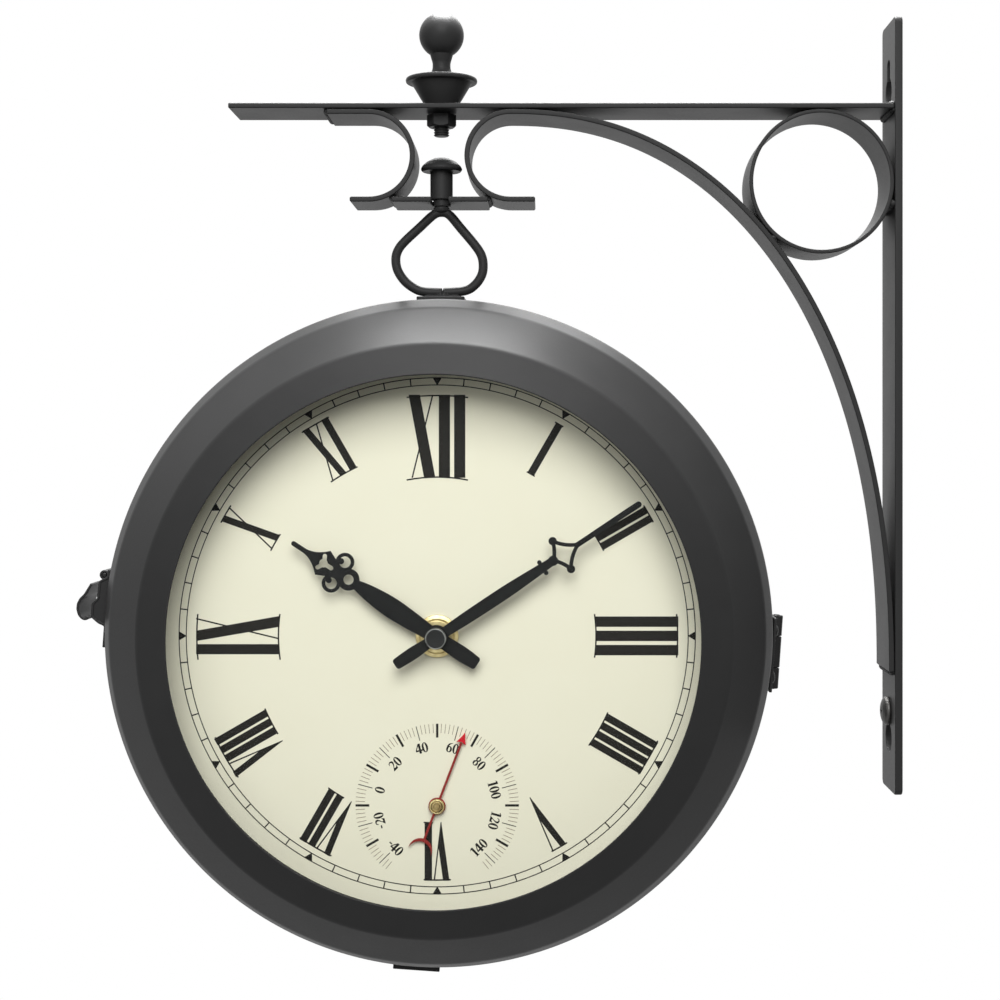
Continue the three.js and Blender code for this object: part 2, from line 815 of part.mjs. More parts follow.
/** The round brass nut that clamps the movement to the dial. */
function dialNut() {
  const back = dialFace + touch;
  const bore = sleeveRadius + touch;
  return turnedFace(
    [
      [bore, back],
      [dialNutRadius, back],
      [dialNutRadius, back + 0.8],
      [dialNutRadius - 1.4, back + 1.3],
      [dialNutRadius - 2, back + dialNutThickness],
      [bore, back + dialNutThickness],
    ],
    24,
  );
}

function battery() {
  const half = batteryLength / 2;
  const cell = turnedX(
    [
      [0, -half],
      [batteryRadius, -half],
      [batteryRadius, half],
      [batteryNubRadius, half],
      [batteryNubRadius, half + batteryNub],
      [0, half + batteryNub],
    ],
    16,
  );
  const y = -(movementBack + batteryRadius + touch);
  return moved(cell, [-batteryNub / 2, y, -batteryDrop]);
}

function setKnob() {
  const front = movementBack - touch;
  const back = front - knobHeight;
  const knob = turnedFace(
    [
      [0, back],
      [knobRadius - 0.6, back],
      [knobRadius, back + 0.6],
      [knobRadius, front],
      [0, front],
    ],
    18,
  );
  const grooves = Array.from({ length: 6 }, (_, i) => {
    const groove = turnedFace(rod(0.7, back - 1, front - 0.8), 6);
    return moved(groove, [knobRadius, 0, 0]).rotate([0, 60 * i, 0]);
  });
  return cut(knob, ...grooves);
}

/** A blade that swells from a hub's half width to a widest one and narrows again; [up, half] pairs. */
function blade(stations) {
  const side = (sign) => {
    const points = stations.map(([up, half]) => new THREE.Vector2(sign * half, up));
    return new THREE.SplineCurve(points).getPoints(10);
  };
  return new THREE.Shape([...side(1), ...side(-1).reverse()]);
}

/** A round spot of a flat piece. */
function spot(x, z, radius, steps = 14) {
  return new THREE.Shape(arc(x, z, radius, 0, 360 - 360 / steps, steps - 1));
}

/** A hand's hub and tail, and the bore that takes its shaft. */
function handFrom(shapes, holes, shaftRadius, front) {
  const back = front - handThickness;
  const plates = shapes.map((shape) => flatFace(shape, back, front));
  const cuts = [...holes, spot(0, 0, shaftRadius + touch)];
  return cut(join(...plates), ...cuts.map((shape) => flatFace(shape, back - 1, front + 1)));
}

/** The hour hand: a leaf, an eye, two open curls and a pierced spade. */
function hourHand() {
  const eyeUp = hourLength - 25.4;
  const curlUp = hourLength - 20.7;
  const curlSide = 4.7;
  const windowUp = hourLength - 18.4;
  const spadeUp = hourLength - 13.9;
  const leafUp = eyeUp - 2.7;
  const leafStep = leafUp / 73;
  const spadeHalf = 5.3;
  const tipHalf = 0.9;
  const stemUp = hourLength - 22.1;
  const stemHalf = 1.5;
  const shaftUp = spadeUp + 8;
  const spade = new THREE.Shape(
    line([-spadeHalf, spadeUp], [-stemHalf, stemUp], [stemHalf, stemUp], [spadeHalf, spadeUp]),
  );
  spade.quadraticCurveTo(1.4, spadeUp + 3.6, tipHalf, shaftUp);
  spade.lineTo(tipHalf, hourLength - tipHalf);
  spade.lineTo(-tipHalf, hourLength - tipHalf);
  spade.lineTo(-tipHalf, shaftUp);
  spade.quadraticCurveTo(-1.4, spadeUp + 3.6, -spadeHalf, spadeUp);
  const curlRadius = 3.5;
  const curlHoleRadius = 2.3;
  const eyeRadius = 4.1;
  const eyeHoleRadius = 1.9;
  const curl = (sign) => spot(sign * curlSide, curlUp, curlRadius);
  const curlHole = (sign) => {
    const hole = new THREE.Shape(arc(sign * curlSide, curlUp, curlHoleRadius, 45, 315, 9));
    hole.lineTo(sign * curlSide + 0.2, curlUp + 0.2);
    return hole;
  };
  const window = new THREE.Shape(line([0, windowUp], [0.6, windowUp + 2.6]));
  window.quadraticCurveTo(1.2, windowUp + 4.4, 3, windowUp + 5.1);
  window.quadraticCurveTo(0, windowUp + 4.5, -3, windowUp + 5.1);
  window.quadraticCurveTo(-1.2, windowUp + 4.4, -0.6, windowUp + 2.6);
  return handFrom(
    [
      blade([
        [-handTail, 3.1], [-9, 3], [0, 2.6],
        [24 * leafStep, 3.5], [42 * leafStep, 3.8], [60 * leafStep, 3], [leafUp, 1.7],
      ]),
      spot(0, 0, hourHubRadius),
      spot(0, eyeUp, eyeRadius),
      curl(1),
      curl(-1),
      spade,
      spot(0, hourLength - tipHalf, tipHalf + 0.1, 8),
    ],
    [spot(0, eyeUp, eyeHoleRadius), curlHole(1), curlHole(-1), window],
    hourTubeRadius,
    hourHandFace,
  );
}

/** A thin curved rib of a hand, from one [x, z] to another, bowed through a third. */
function rib(from, through, to, width) {
  const curve = new THREE.QuadraticBezierCurve(
    new THREE.Vector2(...from),
    new THREE.Vector2(...through),
    new THREE.Vector2(...to),
  );
  return strip(curve.getPoints(5), width);
}

/** The minute hand: a long leaf, a small crossbar, an open four-pointed star and a slender shaft. */
function minuteHand() {
  const crossUp = minuteLength - 43.8;
  const crossHalf = 2.7;
  const starUp = minuteLength - 38.9;
  const bladeStep = starUp / 262;
  const cornerUp = minuteLength - 35.3;
  const cornerSide = 6.2;
  const starTopUp = minuteLength - 28.9;
  const ribWidth = 1.1;
  const crossWidth = 0.9;
  const crossBallRadius = 0.75;
  const starFootRadius = 1.6;
  const cornerBallRadius = 1.4;
  const tipRadius = 1.15;
  const tipUp = minuteLength - tipRadius;
  const shaftHalf = 1;
  const shaft = blade([
    [starTopUp - 0.6, shaftHalf],
    [starTopUp + 4, shaftHalf],
    [tipUp - 6.85, tipRadius],
    [tipUp, tipRadius],
  ]);
  const ribs = [1, -1].flatMap((sign) => [
    rib([0, starUp], [sign * 3.2, starUp + 2.8], [sign * cornerSide, cornerUp], ribWidth),
    rib([sign * cornerSide, cornerUp], [sign * 2.1, cornerUp + 2.6], [0, starTopUp + 0.8], ribWidth),
  ]);
  return handFrom(
    [
      blade([
        [-handTail, 2.6], [-9, 2.4], [0, 1.9],
        [70 * bladeStep, 2.3], [150 * bladeStep, 2.4], [205 * bladeStep, 1.7], [starUp, 0.8],
      ]),
      spot(0, 0, minuteHubRadius),
      strip(line([-crossHalf, crossUp], [crossHalf, crossUp]), crossWidth),
      spot(-crossHalf, crossUp, crossBallRadius, 8),
      spot(crossHalf, crossUp, crossBallRadius, 8),
      spot(0, starUp - 0.3, starFootRadius, 10),
      spot(-cornerSide, cornerUp, cornerBallRadius, 10),
      spot(cornerSide, cornerUp, cornerBallRadius, 10),
      ...ribs,
      shaft,
      spot(0, tipUp, tipRadius, 8),
    ],
    [],
    minuteShaftRadius,
    minuteHandFace,
  );
}

/** The cap nut over the end of the shafts. */
function handCap() {
  const back = minuteHandFace + touch;
  const boreFace = minuteShaftFace + touch;
  const bore = minuteShaftRadius + touch;
  return turnedFace(
    [
      [bore, back],
      [capRadius, back],
      [capRadius, back + capHeight - 0.5],
      [capRadius - 0.5, back + capHeight],
      [0, back + capHeight],
      [0, boreFace],
      [bore, boreFace],
    ].reverse(),
    18,
  );
}

/** The bimetal thermometer behind the dial, with the spindle that passes through it. */
function thermometer() {
  const front = dialBack - touch;
  return turnedFace(
    [
      [0, front - thermometerDepth],
      [thermometerRadius - 1, front - thermometerDepth],
      [thermometerRadius, front - thermometerDepth + 1],
      [thermometerRadius, front],
      [spindleRadius, front],
      [spindleRadius, pointerFace - pointerThickness - touch],
      [spindleTipRadius, pointerFace - pointerThickness - touch],
      [spindleTipRadius, pointerFace],
      [0, pointerFace],
    ],
    20,
  );
}

/** The temperature pointer: a hub, a barbed arrow and a crescent tail. */
function temperaturePointer() {
  const shaftHalf = 0.45;
  const headUp = pointerLength - 6;
  const barbUp = headUp - 1;
  const barbHalf = 1.5;
  const tipHalf = 0.1;
  const footUp = -pointerTail + 2;
  const arrow = new THREE.Shape(line([shaftHalf, footUp], [shaftHalf, headUp], [barbHalf, barbUp]));
  arrow.quadraticCurveTo(barbHalf / 2, pointerLength - 3, tipHalf, pointerLength);
  arrow.lineTo(-tipHalf, pointerLength);
  arrow.quadraticCurveTo(-barbHalf / 2, pointerLength - 3, -barbHalf, barbUp);
  arrow.lineTo(-shaftHalf, headUp);
  arrow.lineTo(-shaftHalf, footUp);
  const crescentRadius = 4.4;
  const crescentWidth = 1.1;
  const crescentArc = arc(0, footUp - crescentRadius, crescentRadius, 0, 180, 10);
  const crescent = strip(crescentArc, crescentWidth);
  const back = pointerFace - pointerThickness;
  const plates = [arrow, crescent, spot(0, 0, pointerHubRadius, 18)];
  const bore = flatFace(spot(0, 0, spindleTipRadius + touch, 12), back - 1, pointerFace + 1);
  return cut(join(...plates.map((shape) => flatFace(shape, back, pointerFace))), bore);
}

function pointerCap() {
  const back = pointerFace + touch;
  return turnedFace(
    [
      [0, back],
      [pointerCapRadius, back],
      [pointerCapRadius, back + pointerCapHeight * 0.5],
      [pointerCapRadius - 0.5, back + pointerCapHeight],
      [0, back + pointerCapHeight],
    ],
    16,
  );
}

/** Makes one face of the clock under a prefix and turns it to its side. */
function addFace(prefix, turn) {
  const face = new THREE.Group();
  face.rotation.z = turn;
  caseGroup.add(face);
  const add = (name, solid, material) => place(face, `${prefix}_${name}`, solid, material);
  add("gasket", gasket(), rubber);
  add("glass", glassDisc(), glass);
  add("spacer_ring", spacerRing(), blackMetal);
  add("dial", dialPlate(), ivory);
  add("retaining_ring", retainingRing(), steel);
  add("movement", movement(), blackPlastic);
  add("dial_nut", dialNut(), brass);
  add("battery", battery(), batteryWrap);
  add("set_knob", setKnob(), blackPlastic);
  add("hour_hand", hourHand(), blackMetal).rotation.y = degrees(hourAngle);
  add("minute_hand", minuteHand(), blackMetal).rotation.y = degrees(minuteAngle);
  add("hand_cap", handCap(), blackMetal);
  add("thermometer", thermometer(), steel).position.z = -thermometerDrop;
  const pointer = add("temperature_pointer", temperaturePointer(), red);
  pointer.position.z = -thermometerDrop;
  pointer.rotation.y = degrees(pointerAngle);
  add("pointer_cap", pointerCap(), brass).position.z = -thermometerDrop;
}

addFace("front", 0);
addFace("rear", Math.PI);

// ---------------------------------------------------------------- fittings on the rim
// Each is made with +X pointing out from the case's axis and +Z along the rim, then turned.

/** A group on the rim at an angle, counted from +X towards +Z. */
function rimGroup(angle) {
  const group = new THREE.Group();
  group.rotation.y = -degrees(angle);
  caseGroup.add(group);
  return group;
}

const leafFoot = caseRadius + touch;
const leafTop = leafFoot + leafThickness;
const hingeHalf = middleKnuckleLength / 2 + touch + knuckleLength;

/** Rivets through a rim fitting at a height above the rim, named in order. */
function addRimRivets(group, name, seat, places) {
  places.forEach(([y, z], i) => {
    const grip = seat - caseRadius + sheet + rimFall(z);
    const rivet = moved(turnedX(rivetProfile(grip), 10), [seat, y, z]);
    place(group, places.length > 1 ? `${name}_${i + 1}` : name, rivet, steel);
  });
}

/** One hinge leaf with its knuckles, each from one z to another; side is -1 front or 1 rear. */
function hingeLeaf(side, knuckles) {
  const clear = knuckleRadius + 2 * touch;
  const plate = (inner, outer, from, to) => {
    const [low, high] = side < 0 ? [-outer, -inner] : [inner, outer];
    return box([leafFoot, low, from], [leafTop, high, to]);
  };
  const leaf = plate(clear, leafReach, -hingeHalf, hingeHalf);
  const rolled = knuckles.flatMap(([from, to]) => [
    plate(0, clear + 1, from, to),
    moved(turnedZ(rod(knuckleRadius, from, to), 16), [hingeAxisRadius, 0, 0]),
  ]);
  const bore = moved(turnedZ(rod(hingePinRadius + touch, -20, 20), 12), [hingeAxisRadius, 0, 0]);
  const holes = hingeRivetPlaces.map((z) =>
    moved(turnedX(rod(rivetRadius + touch, leafFoot - 1, leafTop + 1), 10), [0, side * rimRivetY, z]),
  );
  return cut(join(leaf, ...rolled), bore, ...holes);
}

const hinge = rimGroup(hingeAngle);
const middleHalf = middleKnuckleLength / 2;
place(hinge, "front_hinge_leaf", hingeLeaf(-1, [[-middleHalf, middleHalf]]), coat);
const rearKnuckles = [[-hingeHalf, -middleHalf - touch], [middleHalf + touch, hingeHalf]];
place(hinge, "rear_hinge_leaf", hingeLeaf(1, rearKnuckles), coat);
const hingePin = turnedZ(rod(hingePinRadius, -hingeHalf - touch, hingeHalf + touch), 12);
place(hinge, "hinge_pin", moved(hingePin, [hingeAxisRadius, 0, 0]), coat);
addRimRivets(hinge, "front_hinge_rivet", leafTop + touch, hingeRivetPlaces.map((z) => [-rimRivetY, z]));
addRimRivets(hinge, "rear_hinge_rivet", leafTop + touch, hingeRivetPlaces.map((z) => [rimRivetY, z]));

/** A point of the latch, from the distance along it and the height above the rim. */
function latchPoint([along, height]) {
  return [caseRadius + height, along - latchLength / 2];
}

/** A bent strip of the latch's sheet across a width, from [along, height] pairs. */
function latchStrip(pairs, from, to) {
  return slabY(strip(line(...pairs.map(latchPoint)), latchSheet), from, to);
}

const [pivotX, pivotZ] = latchPoint([latchPivotDown, latchPivotOut]);
const latchFoot = touch + latchSheet / 2;

/** A knuckle about the latch's pivot. */
function latchKnuckle(from, to) {
  return moved(turnedY(rod(latchKnuckleRadius, from, to), 12), [pivotX, 0, pivotZ]);
}

const pivotBore = moved(turnedY(rod(latchPinRadius + touch, -20, 20), 10), [pivotX, 0, pivotZ]);
const earPlaces = [
  [touch + 1, touch + 1 + latchKnuckleLength],
  [latchReach - latchKnuckleLength, latchReach],
];

/** The plate on the rear half, with the two ears that hold the pivot pin. */
function latchBase() {
  const plate = latchStrip([[0, latchFoot], [latchLength, latchFoot]], 1, latchReach);
  const ears = earPlaces.flatMap(([from, to]) => [
    latchStrip([[latchPivotDown, latchFoot], [latchPivotDown, latchPivotOut - 0.5]], from, to),
    latchKnuckle(from, to),
  ]);
  const hole = turnedX(rod(rivetRadius + touch, caseRadius - 1, caseRadius + 4), 10);
  return cut(join(plate, ...ears), pivotBore, moved(hole, [0, rimRivetY, latchRivetZ]));
}

/** The bridge on the front half that the flap closes over, spot-welded at its feet. */
function latchKeeper() {
  const crest = 6.1;
  return latchStrip(
    [
      [0, latchFoot], [3, latchFoot], [5, 4], [11.5, 4.2], [13.5, crest], [18.5, crest],
      [20.5, 3.4], [21.5, latchFoot], [latchLength, latchFoot],
    ],
    -latchReach,
    -1,
  );
}

/** The flap with its curled finger lip; it swings out and up about the pin. */
function latchFlap() {
  const curl = [
    [10.4, 9.6], [12.2, 11.2], [14, 12], [16, 12.1], [18.2, 11.4], [19.6, 10], [19.8, 8.6], [18.9, 7.7],
  ];
  const clear = latchPivotDown + latchKnuckleRadius + 2 * touch;
  const slope = (9.6 - latchPivotOut) / (10.4 - latchPivotDown);
  const start = [clear, latchPivotOut + slope * (clear - latchPivotDown)];
  const plate = latchStrip([start, ...curl], -latchReach + 1, latchReach);
  const [from, to] = [earPlaces[0][1] + touch, earPlaces[1][0] - touch];
  const tongue = latchStrip([[latchPivotDown, latchPivotOut], [clear + 1, start[1] + slope]], from, to);
  return cut(join(plate, tongue, latchKnuckle(from, to)), pivotBore);
}

const latch = rimGroup(latchAngle);
place(latch, "latch_base", latchBase(), coat);
place(latch, "latch_keeper", latchKeeper(), coat);
place(latch, "latch_flap", latchFlap(), coat);
const latchPin = turnedY(rod(latchPinRadius, earPlaces[0][0] - touch, latchReach + touch), 10);
place(latch, "latch_pin", moved(latchPin, [pivotX, 0, pivotZ]), steel);
const latchSeat = caseRadius + touch + latchSheet + touch;
addRimRivets(latch, "latch_rivet", latchSeat, [[rimRivetY, latchRivetZ]]);

/** The clip spot-welded on the rear half that laps over the front half and lines the two up. */
function bottomClip() {
  const height = caseRadius + touch + leafThickness / 2;
  const lipTop = caseRadius + clipLip;
  const path = line([height, leafReach], [height, -clipReach], [lipTop, -clipReach]);
  return slabZ(strip(path, leafThickness), -clipWidth / 2, clipWidth / 2);
}

const clip = rimGroup(clipAngle);
place(clip, "bottom_clip", bottomClip(), coat);

export default object;
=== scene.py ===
"""The looks of a double sided station clock on its wall bracket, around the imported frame.

Lengths are written in millimetres and turned into metres when a piece is made. The wall is the
plane X = 0, one dial faces -Y and the other +Y. Each piece's mesh is drawn in a frame of its own.
"""

import logging
import math
from collections.abc import Iterable
from dataclasses import dataclass
from enum import Enum
from itertools import pairwise

import bmesh
import bpy
from mathutils import Matrix, Vector
from mathutils.geometry import delaunay_2d_cdt, tessellate_polygon


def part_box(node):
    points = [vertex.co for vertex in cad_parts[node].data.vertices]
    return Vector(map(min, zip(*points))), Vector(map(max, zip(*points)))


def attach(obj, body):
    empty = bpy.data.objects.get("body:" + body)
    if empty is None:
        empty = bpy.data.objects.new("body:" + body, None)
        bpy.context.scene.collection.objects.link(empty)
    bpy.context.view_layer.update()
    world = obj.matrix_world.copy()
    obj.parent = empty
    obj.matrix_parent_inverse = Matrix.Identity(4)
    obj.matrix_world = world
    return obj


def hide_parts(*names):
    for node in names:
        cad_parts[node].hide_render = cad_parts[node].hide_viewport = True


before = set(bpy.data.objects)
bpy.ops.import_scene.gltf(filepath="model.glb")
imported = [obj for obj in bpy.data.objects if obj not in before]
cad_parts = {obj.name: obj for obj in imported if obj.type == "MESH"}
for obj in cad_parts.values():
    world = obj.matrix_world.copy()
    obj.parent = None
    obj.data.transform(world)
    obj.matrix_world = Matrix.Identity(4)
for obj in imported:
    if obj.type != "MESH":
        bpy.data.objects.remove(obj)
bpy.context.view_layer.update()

Colour = tuple[float, float, float]
Point = tuple[float, float]
Outline = list[Point]

MM = 0.001
GAP = 0.3  # the least gap between neighbouring pieces
CLOCK_X = -178.0  # the clock's middle and the line of the finial and the pin
CLOCK_Z = -86.9
ARM_LOW = 114.35  # the underside of the bracket's top arm
STRAP = 2.0  # the bracket's steel
CASE_RADIUS = 127.5
SHEET = 1.2  # the case's steel
RIVET_HEAD = 2.4
DIAL_FACE = 27.0  # the dial's face in front of the seam
SCALE_DROP = 63.7  # the temperature scale's middle below the hands'
X_AXIS = Vector((1, 0, 0))
Y_AXIS = Vector((0, 1, 0))
Z_AXIS = Vector((0, 0, 1))

log = logging.getLogger("station_clock")


class Join(Enum):
    """How two forms are put together."""

    JOIN = "UNION"
    CUT = "DIFFERENCE"
    KEEP = "INTERSECT"


class Side(Enum):
    """The two faces of the clock and the body that carries each one's fixed pieces."""

    FRONT = "front_door"
    REAR = "clock"

    @property
    def prefix(self) -> str:
        """The word that this side's pieces and bodies start with."""
        return self.name.lower()

    @property
    def sign(self) -> int:
        """The direction along Y in which this side's dial looks."""
        return -1 if self is Side.FRONT else 1


class Tops(Enum):
    """Which way the tops of a scale's numbers point."""

    OUTWARD = 1
    INWARD = -1


# ---------------------------------------------------------------- outlines


def arc(x: float, y: float, radius: float, start: float, end: float, steps: int) -> Outline:
    """Points of a circular arc.

    Args:
        x: Centre's x.
        y: Centre's y.
        radius: The arc's radius.
        start: First angle in degrees.
        end: Last angle in degrees.
        steps: Number of equal steps.

    Returns:
        The steps + 1 points.
    """
    angles = [math.radians(start + (end - start) * i / steps) for i in range(steps + 1)]
    return [(x + radius * math.cos(a), y + radius * math.sin(a)) for a in angles]


def ellipse(x: float, y: float, wide: float, high: float, steps: int = 40) -> Outline:
    """A closed ellipse.

    Args:
        x: Centre's x.
        y: Centre's y.
        wide: Half its width.
        high: Half its height.
        steps: Number of points.

    Returns:
        The outline.
    """
    return [
        (x + wide * px, y + high * py) for px, py in arc(0, 0, 1, 0, 360 - 360 / steps, steps - 1)
    ]


def disc(x: float, y: float, radius: float, steps: int = 48) -> Outline:
    """A closed circle about (x, y)."""
    return ellipse(x, y, radius, radius, steps)


def rectangle(left: float, low: float, right: float, high: float) -> Outline:
    """A closed rectangle between two corners."""
    return [(left, low), (right, low), (right, high), (left, high)]


def bowed(start: Point, through: Point, end: Point, steps: int = 12) -> Outline:
    """Points of a quadratic curve.

    Args:
        start: First point.
        through: The point that pulls the curve.
        end: Last point.
        steps: Number of steps.

    Returns:
        The curve's points, both ends included.
    """
    shares = [i / steps for i in range(steps + 1)]
    return [
        tuple(
            (1 - t) ** 2 * a + 2 * t * (1 - t) * b + t * t * c
            for a, b, c in zip(start, through, end)
        )
        for t in shares
    ]


def between(p: float, q: float, r: float, s: float, t: float) -> float:
    """A Catmull-Rom value, a share t of the way from q to r."""
    return 0.5 * (2 * q + (r - p) * t + (2 * p - 5 * q + 4 * r - s) * t**2 + (3 * q - p - 3 * r + s) * t**3)


def smooth_line(points: Outline, steps: int = 8) -> Outline:
    """A Catmull-Rom line through points.

    Args:
        points: The points to pass.
        steps: Steps between two of them.

    Returns:
        The finer line.
    """
    padded = [points[0], *points, points[-1]]
    line: Outline = []
    for corners in zip(padded, padded[1:], padded[2:], padded[3:]):
        for i in range(steps):
            line.append(tuple(between(*four, i / steps) for four in zip(*corners)))
    return [*line, points[-1]]


def rounded(points: Outline, radii: float | list[float], closed: bool = True, steps: int = 6) -> Outline:
    """An outline with each corner rounded, as far as its two sides allow.

    Args:
        points: The corners.
        radii: One radius for all corners, or one for each.
        closed: Whether the last point joins the first.
        steps: Steps of each rounding.

    Returns:
        The rounded outline.
    """
    sizes = [radii] * len(points) if isinstance(radii, (int, float)) else radii
    result: Outline = []
    for i, (corner, radius) in enumerate(zip(points, sizes)):
        if radius <= 0 or (not closed and i in (0, len(points) - 1)):
            result.append(corner)
            continue
        here = Vector(corner)
        before = Vector(points[i - 1]) - here
        after = Vector(points[(i + 1) % len(points)]) - here
        half = before.angle(after) / 2
        if half > math.radians(89.5):
            result.append(corner)
            continue
        reach = min(radius / math.tan(half), before.length * 0.49, after.length * 0.49)
        start, end = here + before.normalized() * reach, here + after.normalized() * reach
        true_radius = reach * math.tan(half)
        centre = here + (before.normalized() + after.normalized()).normalized() * (
            true_radius / math.sin(half)
        )
        for k in range(steps + 1):
            t = k / steps
            spoke = (start - centre).normalized().slerp((end - centre).normalized(), t)
            result.append(tuple(centre + spoke * true_radius))
    return result


def area_of(points: Outline) -> float:
    """The signed area of a closed outline, positive if it runs counter-clockwise."""
    return sum(a[0] * b[1] - b[0] * a[1] for a, b in zip(points, [*points[1:], points[0]])) / 2


def moved_in(points: Outline, distance: float, closed: bool = True) -> Outline:
    """A line moved to the left of its direction.

    Args:
        points: The line, with its material on the left.
        distance: How far to move it.
        closed: Whether the last point joins the first.

    Returns:
        The moved line, with limited mitres.
    """
    count = len(points)
    result: Outline = []
    for i, point in enumerate(points):
        before = points[i - 1] if closed or i else points[0]
        after = points[(i + 1) % count] if closed or i < count - 1 else points[-1]
        normals = []
        for a, b in ((before, point), (point, after)):
            step = Vector((a[1] - b[1], b[0] - a[0]))
            if step.length > 1e-9:
                normals.append(step.normalized())
        total = normals[0] + normals[-1]
        mitre = total / max(1 + normals[0].dot(normals[-1]), 0.3)
        result.append((point[0] + mitre.x * distance, point[1] + mitre.y * distance))
    return result


def strip(points: Outline, width: float) -> Outline:
    """The closed outline of a strip of one width along an open line."""
    left = moved_in(points, width / 2, closed=False)
    right = moved_in(points, -width / 2, closed=False)
    return [*right, *reversed(left)]


def merge(solids: list[Outline], holes: list[Outline] | None = None) -> list[Outline]:
    """The outlines round everything that a solid covers and no hole does.

    Args:
        solids: Closed outlines that are joined.
        holes: Closed outlines that are cut from them.

    Returns:
        The boundary loops, each with its material on the left.
    """
    shapes = [*solids, *(holes or [])]
    spots: list[Vector] = []
    faces: list[list[int]] = []
    for shape in shapes:
        run = shape if area_of(shape) > 0 else list(reversed(shape))
        faces.append(list(range(len(spots), len(spots) + len(run))))
        spots.extend(Vector(p) for p in run)
    points, _, triangles, _, _, origins = delaunay_2d_cdt(spots, [], faces, 1, 1e-6)
    kept = [
        triangle
        for triangle, origin in zip(triangles, origins)
        if origin and max(origin) < len(solids)
    ]
    edges = {(a, b) for face in kept for a, b in zip(face, [*face[1:], face[0]])}
    following: dict[int, list[int]] = {}
    for a, b in sorted(edges):
        if (b, a) not in edges:
            following.setdefault(a, []).append(b)
    loops: list[Outline] = []
    while following:
        start = next(iter(following))
        loop, here = [], start
        while here in following:
            loop.append(here)
            ahead = following[here]
            step = ahead.pop()
            if not ahead:
                del following[here]
            here = step
            if here == start:
                break
        outline = without_straights([tuple(points[i]) for i in loop])
        if len(outline) > 2 and abs(area_of(outline)) > 1e-5:
            loops.append(outline)
    return loops


def without_straights(points: Outline) -> Outline:
    """A closed outline without doubled points and points on a straight run.

    Args:
        points: The outline.

    Returns:
        The outline.
    """
    spots: Outline = []
    for point in points:
        if not spots or math.dist(point, spots[-1]) > 1e-4:
            spots.append(point)
    if len(spots) > 1 and math.dist(spots[0], spots[-1]) <= 1e-4:
        spots.pop()
    kept: Outline = []
    for i, point in enumerate(spots):
        a, b = spots[i - 1], spots[(i + 1) % len(spots)]
        turn = (point[0] - a[0]) * (b[1] - point[1]) - (point[1] - a[1]) * (b[0] - point[0])
        if abs(turn) > 1e-7:
            kept.append(point)
    return kept


def inside(point: Point, loop: Outline) -> bool:
    """Whether a point lies within a closed outline.

    Args:
        point: The point.
        loop: The outline.

    Returns:
        True if it does.
    """
    x, y = point
    crossings = 0
    for a, b in zip(loop, [*loop[1:], loop[0]]):
        if (a[1] > y) != (b[1] > y) and x < a[0] + (y - a[1]) * (b[0] - a[0]) / (b[1] - a[1]):
            crossings += 1
    return crossings % 2 == 1


def islands(loops: list[Outline]) -> list[list[Outline]]:
    """Outlines sorted into groups, each an outer one and the holes in it.

    Args:
        loops: Outer outlines, counter-clockwise, and holes, clockwise.

    Returns:
        The groups.
    """
    outer = sorted((loop for loop in loops if area_of(loop) > 0), key=area_of)
    groups = [[loop] for loop in outer]
    for hole in (loop for loop in loops if area_of(loop) <= 0):
        group = next((g for g in groups if inside(hole[0], g[0])), None)
        if group is not None:
            group.append(hole)
    return groups


# ---------------------------------------------------------------- meshes


